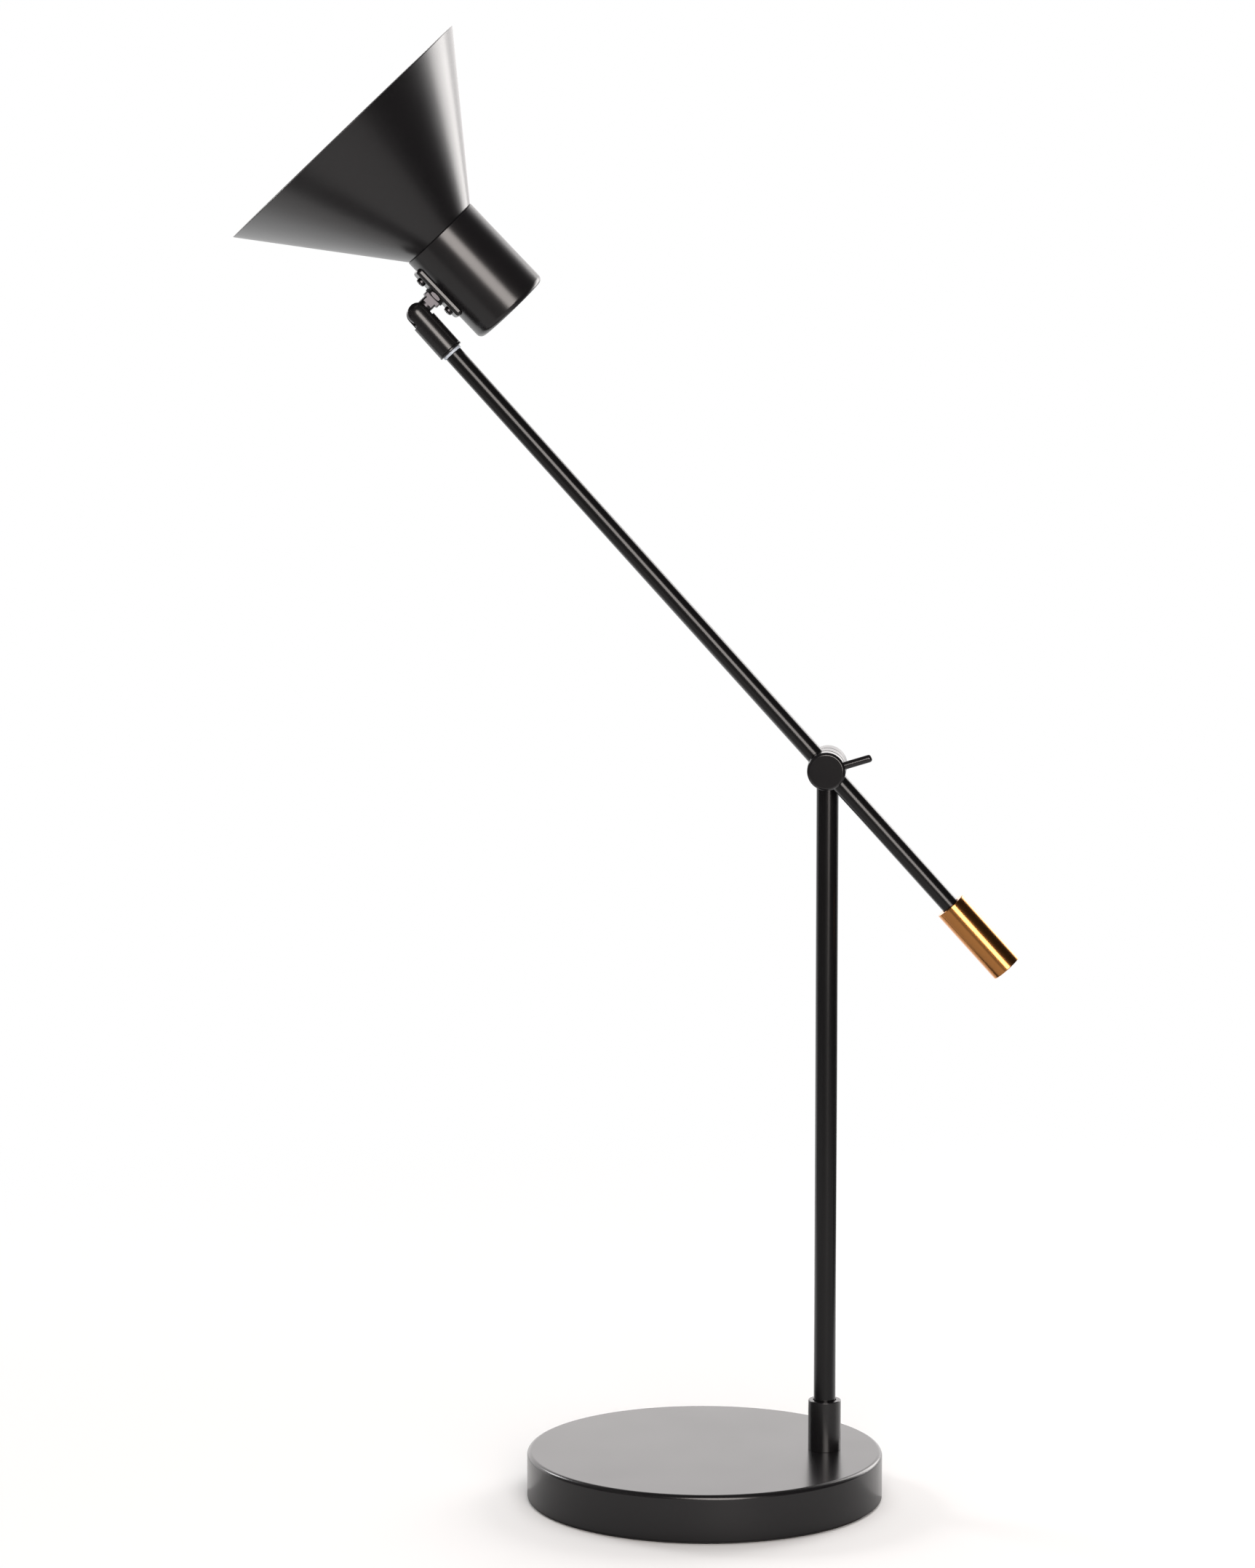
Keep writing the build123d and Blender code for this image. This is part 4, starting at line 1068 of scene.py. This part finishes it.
@dataclass
class PostGroup(SubAssembly):
    """Post with its head. Sizes in millimetres."""

    part: ClassVar[Part] = Part.POST
    radius: float = 6.0
    bore: float = 4.6
    foot: float = 6.5
    head_radius: float = 10.5
    head_half: float = 6.5
    head_edge: float = 0.6
    tube_stop: float = 5.6
    cap_radius: float = 4.8
    cap_depth: float = 1.6

    def build(self) -> None:
        """Builds the tube and the head, and dresses the pivot's inner pieces."""
        post, pivot = self.stands.post, self.stands.pivot
        rise = (pivot.origin.z - post.origin.z) / MM - self.tube_stop
        outline = sleeve(self.bore, self.radius, (self.foot, rise), (BROKEN, 0.0))
        tube = Bench.turn("post", outline, post)
        self.dress(tube, self.finishes.tube, Slot.TURNED, "post_tube")
        rear = -self.head_half
        outline = [
            Corner(0, rear + self.cap_depth),
            Corner(self.cap_radius, rear + self.cap_depth),
            Corner(self.cap_radius, rear, CRISP),
            Corner(self.head_radius, rear, self.head_edge),
            Corner(self.head_radius, self.head_half, self.head_edge),
            Corner(0, self.head_half),
        ]
        head = Bench.turn("post_top", outline, pivot)
        self.dress(head, self.finishes.black, Slot.TURNED, "post_head")
        self.coat(self.finishes.zinc, "pivot_screw")
        self.coat(self.finishes.black, "pivot_cap")
        self.coat(self.finishes.fibre, "rear_friction_washer")


@dataclass
class ClampGroup(SubAssembly):
    """Lever knob of the clamp. Sizes in millimetres."""

    part: ClassVar[Part] = Part.CLAMP
    thickness: float = 8.2
    radius: float = 10.35
    bevel: float = 1.15
    shoulder: float = 0.25
    insert_radius: float = 4.5
    insert_recess: float = 0.4
    skirt: float = 0.45
    skirt_bore: float = 9.85
    skirt_edge: float = 0.15
    lever_radius: float = 2.14
    lever_ends: Pair = (4.8, 25.6)
    lever_tip: float = 1.8
    hole_radius: float = 2.2
    hole_ends: Pair = (7.0, 14.0)

    def build(self) -> None:
        """Builds the knob and the lever, and dresses the insert and the washer."""
        face = self.thickness
        outline = [
            Corner(0, self.insert_recess),
            Corner(self.insert_radius, self.insert_recess),
            Corner(self.insert_radius, 0),
            Corner(self.skirt_bore, 0),
            Corner(self.skirt_bore, -self.skirt),
            Corner(self.radius, -self.skirt, self.skirt_edge),
            Corner(self.radius, face - self.bevel, self.shoulder),
            Corner(self.radius - self.bevel, face, SOFT),
            Corner(0, face),
        ]
        knob = Bench.turn("knob", outline, self.stands.clamp)
        hole = sleeve(0, self.hole_radius, self.hole_ends)
        Bench.cut(knob, Bench.turn("lever_hole", hole, self.stands.lever, Facets.SCREW))
        self.dress(knob, self.finishes.lacquer, Slot.TURNED, "clamp_knob")
        outline = sleeve(0, self.lever_radius, self.lever_ends, (0.0, self.lever_tip), 8)
        lever = Bench.turn("lever", outline, self.stands.lever, Facets.SCREW)
        self.dress(lever, self.finishes.lacquer, Slot.TURNED, "clamp_lever")
        self.coat(self.finishes.insert_brass, "knob_insert")
        self.coat(self.finishes.fibre, "front_friction_washer")


@dataclass
class ArmGroup(SubAssembly):
    """Arm with its barrel, counterweight and swivel washer. Sizes in millimetres."""

    part: ClassVar[Part] = Part.ARM
    barrel_half: float = 6.0
    barrel_radius: float = 10.5
    barrel_bore: float = 3.05
    barrel_edge: float = 0.4
    spot_radius: float = 5.6
    spot_ends: Pair = (9.65, 20.0)
    radius: float = 5.0
    bore: float = 4.0
    socket: float = 5.2
    tube_end: float = 28.9
    tube_edge: float = 0.35
    weight_start: float = 100.0
    weight_end: float = 146.0
    weight_radius: float = 8.75
    weight_edge: float = 0.5
    counterbore: float = 5.3
    counterbore_depth: float = 1.5
    washer_radius: float = 5.6
    washer_bore: float = 2.6
    washer_thickness: float = 1.55

    def build(self) -> None:
        """Builds the arm's pieces and dresses the swivel's inner ones."""
        self.build_barrel()
        self.build_tubes()
        self.build_weight()
        ends = (0, self.washer_thickness)
        outline = sleeve(self.washer_bore, self.washer_radius, ends, (BROKEN, BROKEN))
        stand = self.stands.knuckle.at(-self.tube_end)
        washer = Bench.turn("swivel_washer", outline, stand, Facets.STUD)
        self.dress(washer, self.finishes.nylon, Slot.NYLON, "nylon_washer")
        self.coat(self.finishes.zinc, "swivel_spindle", "swivel_nut")

    def build_barrel(self) -> None:
        """Turns the barrel and spot-faces it where the arm goes in, on both sides."""
        half = self.barrel_half - RUNNING_GAP
        edges = (self.barrel_edge, self.barrel_edge)
        outline = sleeve(self.barrel_bore, self.barrel_radius, (-half, half), edges)
        barrel = Bench.turn("barrel", outline, self.stands.barrel)
        spot = sleeve(0, self.spot_radius, self.spot_ends)
        for way in (self.stands.arm, self.stands.arm.flipped()):
            Bench.cut(barrel, Bench.turn("spot_face", spot, way, Facets.STUD))
        self.dress(barrel, self.finishes.black, Slot.TURNED, "arm_barrel")

    def build_tubes(self) -> None:
        """Turns the tube to the head and the rod to the weight."""
        way = self.stands.arm
        reach = (self.stands.knuckle.origin - way.origin).length / MM
        ends = (self.socket, reach - self.tube_end)
        tube = Bench.turn("arm", sleeve(self.bore, self.radius, ends, (0.0, self.tube_edge)), way)
        self.dress(tube, self.finishes.tube, Slot.TURNED, "arm_tube")
        ends = (self.socket, self.weight_start + self.counterbore_depth)
        rod = Bench.turn("weight_rod", sleeve(0, self.radius, ends), way.flipped())
        self.dress(rod, self.finishes.tube, Slot.TURNED, "counter_rod")

    def build_weight(self) -> None:
        """Turns the brass counterweight, with a shallow counterbore round the rod."""
        floor = self.weight_start + self.counterbore_depth
        outline = [
            Corner(0, floor),
            Corner(self.counterbore, floor),
            Corner(self.counterbore, self.weight_start, CRISP),
            Corner(self.weight_radius, self.weight_start, self.weight_edge),
            Corner(self.weight_radius, self.weight_end, self.weight_edge),
            Corner(0, self.weight_end),
        ]
        weight = Bench.turn("weight", outline, self.stands.arm.flipped(), Facets.WEIGHT)
        self.dress(weight, self.finishes.brass, Slot.BRASS, "counterweight")


@dataclass
class KnuckleGroup(SubAssembly):
    """Slotted knuckle at the arm's end, measured back from the ball. Sizes in millimetres."""

    part: ClassVar[Part] = Part.KNUCKLE
    radius: float = 7.0
    length: float = 26.1
    bore: float = 5.6
    socket: float = 5.55
    slot_width: float = 9.0
    slot_depth: float = 5.7
    flange_radius: float = 7.1
    flange_thickness: float = 1.25
    spindle_bore: float = 2.6
    nut_bore: float = 4.8
    plug_top: float = -11.0
    plug_floor: float = -20.0

    def build(self) -> None:
        """Builds the domed body with its slot and the plug's flange, and dresses the seat and springs."""
        stand = self.stands.knuckle
        outline = [
            Corner(0, self.radius),
            Corner(self.radius, self.radius, self.radius - HAIR, 20),
            Corner(self.radius, -self.length, SOFT),
            Corner(self.bore, -self.length),
            Corner(self.bore, self.socket, self.socket - HAIR, 16),
            Corner(0, self.socket),
        ]
        body = Bench.turn("knuckle", outline, stand)
        height = self.slot_depth + 2 * self.radius
        size = (4 * self.radius, self.slot_width, height)
        Bench.cut(body, Bench.block("slot", size, stand.at(height / 2 - self.slot_depth)))
        self.dress(body, self.finishes.black, Slot.TURNED, "knuckle_body")
        underside = RUNNING_GAP - self.length - self.flange_thickness
        floor = self.plug_floor - RUNNING_GAP
        outline = [
            Corner(self.spindle_bore, underside),
            Corner(self.flange_radius, underside, BROKEN),
            Corner(self.flange_radius, -self.length, BROKEN),
            Corner(self.bore, -self.length),
            Corner(self.bore, self.plug_top),
            Corner(self.nut_bore, self.plug_top),
            Corner(self.nut_bore, floor),
            Corner(self.spindle_bore, floor),
        ]
        plug = Bench.turn("knuckle_foot", outline, stand)
        self.dress(plug, self.finishes.black, Slot.TURNED, "knuckle_plug")
        self.coat(self.finishes.acetal, "ball_seat")
        self.coat(self.finishes.zinc, "seat_springs")


@dataclass
class HeadGroup(SubAssembly):
    """Ball stud, bracket, cup, shade and lampholder. Sizes in millimetres."""

    part: ClassVar[Part] = Part.HEAD
    ball: float = 5.5
    ball_angles: range = range(-80, 41, 8)
    neck: float = 4.0
    neck_end: float = 9.8
    flange: float = 5.2
    flange_end: float = 11.8
    flats: float = 5.7
    flats_start: float = 7.0
    mill: Pair = (24.0, 10.0)
    thread: float = 3.0
    stud_end: float = 21.0
    bracket_face: float = 13.9
    bracket_size: tuple[float, float, float] = (33.5, 13.0, 2.0)
    bracket_hollow: float = 2.0
    bracket_corner: float = 2.5
    bracket_rim: float = 1.8
    upright: float = 0.99
    drum_ends: Pair = (-80.0, 20.0)
    screw_spacing: float = 21.2
    screw_head: float = 2.6
    screw_height: float = 1.9
    screw_dome: float = 1.0
    shank: float = 1.5
    shank_end: float = -4.6
    recess_length: float = 2.8
    recess_width: float = 0.7
    recess_height: float = 2.0
    cup_radius: float = 23.15
    cup_length: float = 56.2
    cup_wall: float = 1.2
    cup_edge: float = 3.0
    cup_inner_edge: float = 1.8
    seam: float = 0.55
    rim_radius: float = 81.8
    rim_edge: float = 0.75
    shade_length: float = 75.2
    wall_run: float = 1.143
    neck_hole: float = 18.7
    neck_sheet: float = 1.0
    neck_inside: float = 22.516
    neck_edge: float = 0.8
    shell_radius: float = 13.2
    shell_wave: float = 0.35
    shell_sheet: float = 0.2
    shell_side: float = 1.0
    shell_pitch: float = 3.62
    shell_start: float = -23.0
    shell_end: float = 4.0
    wave_facets: int = 12

    def build(self) -> None:
        """Builds the head's pieces, from the ball outwards."""
        self.build_stud()
        self.build_bracket()
        self.build_screws()
        self.build_cup()
        self.build_shade()
        self.build_shell()
        self.coat(self.finishes.nickel, "stud_nut")
        self.coat(self.finishes.zinc, "stud_inner_nut", "stud_inner_washer", "holder_screws")
        self.coat(self.finishes.bakelite, "holder_body", "shade_ring", "holder_spacers")
        self.coat(self.finishes.shell_brass, "centre_contact")

    def build_stud(self) -> None:
        """Turns the ball stud and mills two flats on its neck and flange."""
        stand = self.stands.stud
        turns = [math.radians(angle) for angle in self.ball_angles]
        outline = [
            Corner(0, -self.ball),
            *(Corner(self.ball * math.cos(turn), self.ball * math.sin(turn)) for turn in turns),
            Corner(self.neck, math.sqrt(self.ball**2 - self.neck**2)),
            Corner(self.neck, self.neck_end, BROKEN),
            Corner(self.flange, self.neck_end, BROKEN),
            Corner(self.flange, self.flange_end, BROKEN),
            Corner(self.thread, self.flange_end),
            Corner(self.thread, self.stud_end, SOFT),
            Corner(0, self.stud_end),
        ]
        stud = Bench.turn("ball_stud_turned", outline, stand, Facets.STUD)
        length = self.flange_end - self.flats_start
        offset = (self.flats + self.mill[1]) / 2
        for side in (offset, -offset):
            place = stand.at(self.flats_start + length / 2, across=side)
            Bench.cut(stud, Bench.block("flat", (*self.mill, length), place))
        self.dress(stud, self.finishes.nickel, Slot.NICKEL, "ball_stud")

    def build_bracket(self) -> None:
        """Cuts the bracket plate: rounded corners, hollow back and broken edges."""
        length, width, thickness = self.bracket_size
        depth = thickness + self.bracket_hollow
        stand = self.stands.stud.at(self.bracket_face + depth / 2)
        plate = Bench.block("bracket", (length, width, depth), stand)
        axis = stand.axis
        face = axis.dot(stand.at(-depth / 2).origin)
        Bench.round_edges(
            plate,
            lambda a, b: abs((b - a).normalized().dot(axis)) > self.upright,
            self.bracket_corner,
            8,
        )
        Bench.round_edges(
            plate,
            lambda a, b: max(abs(axis.dot(end) - face) for end in (a, b)) < WELD,
            self.bracket_rim,
            4,
        )
        drum = sleeve(0, self.cup_radius, self.drum_ends)
        Bench.cut(plate, Bench.turn("cup_drum", drum, self.stands.head, Facets.DRUM))
        Bench.soften(plate, BROKEN)
        self.dress(plate, self.finishes.black, Slot.NICKEL, "head_bracket")

    def build_screws(self) -> None:
        """Turns one pan-head screw with a cross recess, and copies it to the other hole."""
        stand = self.stands.stud.at(self.bracket_face, out=-self.screw_spacing / 2).flipped()
        outline = [
            Corner(0, self.shank_end),
            Corner(self.shank, self.shank_end, BROKEN),
            Corner(self.shank, 0),
            Corner(self.screw_head, 0),
            Corner(self.screw_head, self.screw_height, self.screw_dome, 6),
            Corner(0, self.screw_height),
        ]
        screw = Bench.turn("bracket_screw_pair", outline, stand, Facets.SCREW)
        bar = (self.recess_length, self.recess_width)
        for sides in (bar, bar[::-1]):
            size = (*sides, self.recess_height)
            Bench.cut(screw, Bench.block("recess", size, stand.at(self.screw_height)))
        screws = Bench.pair(screw, self.stands.stud.out * self.screw_spacing * MM)
        self.dress(screws, self.finishes.screw, Slot.NICKEL, "bracket_screws")

    def build_cup(self) -> None:
        """Turns the cup: rounded closed end, and a small chamfer that makes the seam line."""
        inside = self.cup_radius - self.cup_wall
        floor = self.cup_wall - self.cup_length
        outline = [
            Corner(0, -self.cup_length),
            Corner(self.cup_radius, -self.cup_length, self.cup_edge, 10),
            Corner(self.cup_radius, 0, self.seam, 2),
            Corner(inside, 0),
            Corner(inside, floor, self.cup_inner_edge, 5),
            Corner(0, floor),
        ]
        cup = Bench.turn("cup", outline, self.stands.head, Facets.CUP)
        self.dress(cup, self.finishes.black, Slot.SHADE, "lamp_cup")

    def build_shade(self) -> None:
        """Spins the cone shade: flange at the neck and a rounded edge at the rim."""
        outline = [
            Corner(self.neck_hole, 0),
            Corner(self.cup_radius - self.seam, 0),
            Corner(self.cup_radius, self.seam),
            Corner(self.rim_radius, self.shade_length, self.rim_edge, 5),
            Corner(self.rim_radius - self.wall_run, self.shade_length, BROKEN),
            Corner(self.neck_inside, self.neck_sheet, self.neck_edge),
            Corner(self.neck_hole, self.neck_sheet),
        ]
        shade = Bench.turn("cone", outline, self.stands.head, Facets.SHADE)
        self.dress(shade, self.finishes.shade, Slot.SHADE, "shade")

    def build_shell(self) -> None:
        """Rolls the thread shell: one wave of the thread, screwed up the axis, trimmed and thickened."""
        pitch, first = self.shell_pitch, self.shell_start - self.shell_pitch
        wave = []
        for step in range(self.wave_facets + 1):
            swell = 0.5 - 0.5 * math.cos(FULL_TURN * step / self.wave_facets)
            radius = self.shell_radius + self.shell_wave * swell
            wave.append(Corner(radius, first + pitch * step / self.wave_facets))
        shell = Bench.trace("rolled_shell", wave)
        bpy.ops.object.mode_set(mode="OBJECT")
        Bench.modify(
            shell,
            "SCREW",
            steps=int(Facets.STUD),
            render_steps=int(Facets.STUD),
            iterations=math.ceil((self.shell_end - self.shell_start) / pitch) + 1,
            screw_offset=pitch * MM,
            use_merge_vertices=True,
            merge_threshold=WELD,
        )
        Bench.trim(shell, self.shell_start, above=False)
        Bench.trim(shell, self.shell_end, above=True)
        bpy.ops.object.mode_set(mode="EDIT")
        Bench.weld()
        Bench.modify(shell, "SOLIDIFY", thickness=self.shell_sheet * MM, offset=self.shell_side)
        Bench.settle(shell, self.stands.head)
        self.dress(shell, self.finishes.shell_brass, Slot.BRASS, "thread_shell")


@dataclass(frozen=True)
class SoftBox:
    """One soft light. Places and sizes in metres, power in watts."""

    name: str
    place: Place
    target: Place
    size: Pair
    power: float
    colour: Colour = (1.0, 1.0, 1.0)
    shape: LightShape = LightShape.OBLONG
    roll: float = 0.0
    mirrored: bool = True

    def hang(self) -> None:
        """Hangs the light, turned to its target."""
        light = bpy.data.lights.new(self.name, "AREA")
        light.shape = self.shape.value
        light.size, light.size_y = self.size
        light.energy = self.power
        light.color = self.colour
        box = bpy.data.objects.new(self.name, light)
        bpy.context.scene.collection.objects.link(box)
        box.location = self.place
        box.visible_glossy = self.mirrored
        way = Vector(self.target) - Vector(self.place)
        aim = way.to_track_quat("-Z", "Y")
        box.rotation_euler = (aim @ Quaternion((0, 0, 1), self.roll)).to_euler()


@dataclass(frozen=True)
class Flag:
    """A dull card beside the lamp that shows in its paint and nowhere else. Sizes in metres."""

    name: str
    place: Place
    size: Pair
    turn: float
    grey: float

    def felt(self, graph: ShaderGraph) -> Wire:
        """Builds the card's matt surface."""
        return graph.node("ShaderNodeBsdfDiffuse", inputs={"Color": (*[self.grey] * 3, 1.0)})

    def set_up(self) -> None:
        """Sets the card up, turned about the line of sight."""
        Bench.clear()
        bpy.ops.mesh.primitive_plane_add(size=1, location=self.place, rotation=(0, self.turn, 0))
        card = Bench.started(self.name)
        card.scale = (*self.size, 1)
        Bench.apply_place()
        card.data.materials.append(new_material(self.name, self.felt))
        card.visible_camera = False
        card.visible_diffuse = False
        card.visible_shadow = False


@dataclass
class Studio:
    """White sweep behind the lamp, a dim room in front, soft light, and the photograph's viewpoint."""

    camera_place: Place = (0.14870, -2.73681, 0.74866)
    azimuth: float = math.radians(4.0)
    tilt: float = math.radians(7.3)
    lens: float = 116.7
    sensor: float = 36.0
    floor_side: float = 40.0
    floor_colour: Colour = (0.86, 0.86, 0.86)
    white_band: Pair = (0.25, 1.1)
    clear_band: Pair = (0.15, 0.5)
    rear_band: Pair = (-0.1, 0.4)
    floor_glow: float = 1.85
    glow_fall: float = 0.5
    room: float = 0.10
    room_colour: Colour = (1.0, 0.968, 0.962)
    sweep: float = 1.9
    sweep_band: Pair = (0.3, 0.6)
    ceiling: float = 0.15
    ceiling_band: Pair = (0.42, 0.66)
    flags: tuple[Flag, ...] = (
        Flag("near_card", (0.0, -0.42, 0.002), (1.9, 0.84), 0.0, 0.54),
        Flag("left_floor", (-1.6, -0.1, 0.0015), (2.0, 0.8), 0.0, 0.3),
        Flag("right_floor", (1.45, 0.5, 0.0015), (2.0, 1.8), 0.0, 0.15),
        Flag("front_card", (0.0, -3.0, 0.001), (6.0, 6.0), 0.0, 0.18),
        Flag("right_card", (1.3, -0.9, 1.1), (2.2, 3.1), math.pi / 2, 0.03),
        Flag("left_card", (-1.5, -1.0, 1.1), (2.2, 3.0), math.pi / 2, 0.12),
    )
    boxes: tuple[SoftBox, ...] = (
        SoftBox(
            "key",
            (0.50, -2.4, 1.00),
            (0, 0, 0.5),
            (2.3, 1.3),
            72.0,
            (1.0, 0.93, 0.89),
            LightShape.OVAL,
            math.radians(-47.9),
        ),
        SoftBox("rim", (1.12, 1.39, 0.95), (-0.1, 0, 0.7), (0.84, 1.3), 16.0, (1.0, 0.97, 0.95)),
        SoftBox("hair", (-1.6, 1.05, 1.15), (0, 0, 0), (0.5, 0.5), 10.0),
        SoftBox("fill", (0.0, 0.2, 2.6), (0, 0, 0), (2.4, 2.4), 30.0, mirrored=False),
    )

    def build(self) -> None:
        """Sets the stage, the lights, the world and the camera."""
        self.lay_floor()
        for flag in self.flags:
            flag.set_up()
        self.light_world()
        for box in self.boxes:
            box.hang()
        self.place_camera()
        bpy.context.scene.view_settings.view_transform = "Standard"

    def lay_floor(self) -> None:
        """Lays a pale floor."""
        Bench.clear()
        bpy.ops.mesh.primitive_plane_add(size=self.floor_side, location=(0, 0, 0))
        floor = Bench.started("floor")
        material = new_material("pale_floor", self.floor_surface)
        material.cycles.emission_sampling = "NONE"
        floor.data.materials.append(material)

    def floor_surface(self, graph: ShaderGraph) -> Wire:
        """Keeps the shadow near the lamp, plain white further off, and a glow behind it in its gloss.

        Args:
            graph: The floor's nodes.

        Returns:
            The floor's shader.
        """
        place = graph.coordinates()
        reach = graph.node("ShaderNodeVectorMath", {"operation": "LENGTH"}, {0: place}, out="Value")
        far = graph.fade(reach, self.white_band)
        clear = graph.fade(reach, self.clear_band)
        behind = graph.fade(graph.split(place, "Y"), self.rear_band)
        seen = graph.node("ShaderNodeLightPath", out="Is Camera Ray")
        mirrored = graph.node("ShaderNodeLightPath", out="Is Glossy Ray")
        matt = graph.node("ShaderNodeBsdfDiffuse", inputs={"Color": (*self.floor_colour, 1.0)})
        plain = graph.node("ShaderNodeEmission", inputs={"Strength": 1.0})
        glowing = graph.node("ShaderNodeEmission", inputs={"Strength": self.floor_glow})
        near = (1 - reach * (self.glow_fall / (self.floor_glow - 1))).largest(0.0)
        white = graph.mix(mirrored * near, plain, glowing)
        return graph.mix(far * seen + clear * behind * mirrored, matt, white)

    def light_world(self) -> None:
        """Lights the room: white behind the lamp and at its sides, dim in front and overhead."""
        world = bpy.data.worlds.new("studio")
        bpy.context.scene.world = world
        world.use_nodes = True
        graph = ShaderGraph(world.node_tree)
        way = graph.node("ShaderNodeTexCoord", out="Generated")
        behind = graph.fade(graph.split(way, "Y"), self.sweep_band)
        below = graph.fade(graph.split(way, "Z"), self.ceiling_band, (1.0, self.ceiling))
        seen = graph.node("ShaderNodeLightPath", out="Is Camera Ray")
        dim, sweep, white = (
            graph.node("ShaderNodeBackground", inputs={"Color": (*colour, 1.0), "Strength": strength})
            for colour, strength in (
                (self.room_colour, self.room),
                (self.room_colour, self.sweep),
                ((1.0, 1.0, 1.0), 1.0),
            )
        )
        surface = graph.mix(seen, graph.mix(behind * below, dim, sweep), white)
        graph.node("ShaderNodeOutputWorld", inputs={"Surface": surface})

    def place_camera(self) -> None:
        """Places the camera as the photograph was taken."""
        data = bpy.data.cameras.new("camera")
        data.lens = self.lens
        data.sensor_width = self.sensor
        data.sensor_fit = "AUTO"
        camera = bpy.data.objects.new("camera", data)
        bpy.context.scene.collection.objects.link(camera)
        camera.location = self.camera_place
        camera.rotation_euler = (math.pi / 2 - self.tilt, 0, self.azimuth)
        bpy.context.scene.camera = camera


def main() -> None:
    """Builds the lamp's groups in order, then the studio."""
    logging.basicConfig(level=logging.INFO, format="%(message)s")
    stands = LampFrame(frame)
    finishes = Finishes(stands)
    groups = (BaseGroup, PostGroup, ClampGroup, ArmGroup, KnuckleGroup, HeadGroup)
    for group in groups:
        group(stands, finishes).build()
    Studio().build()


if __name__ == "__main__":
    main()
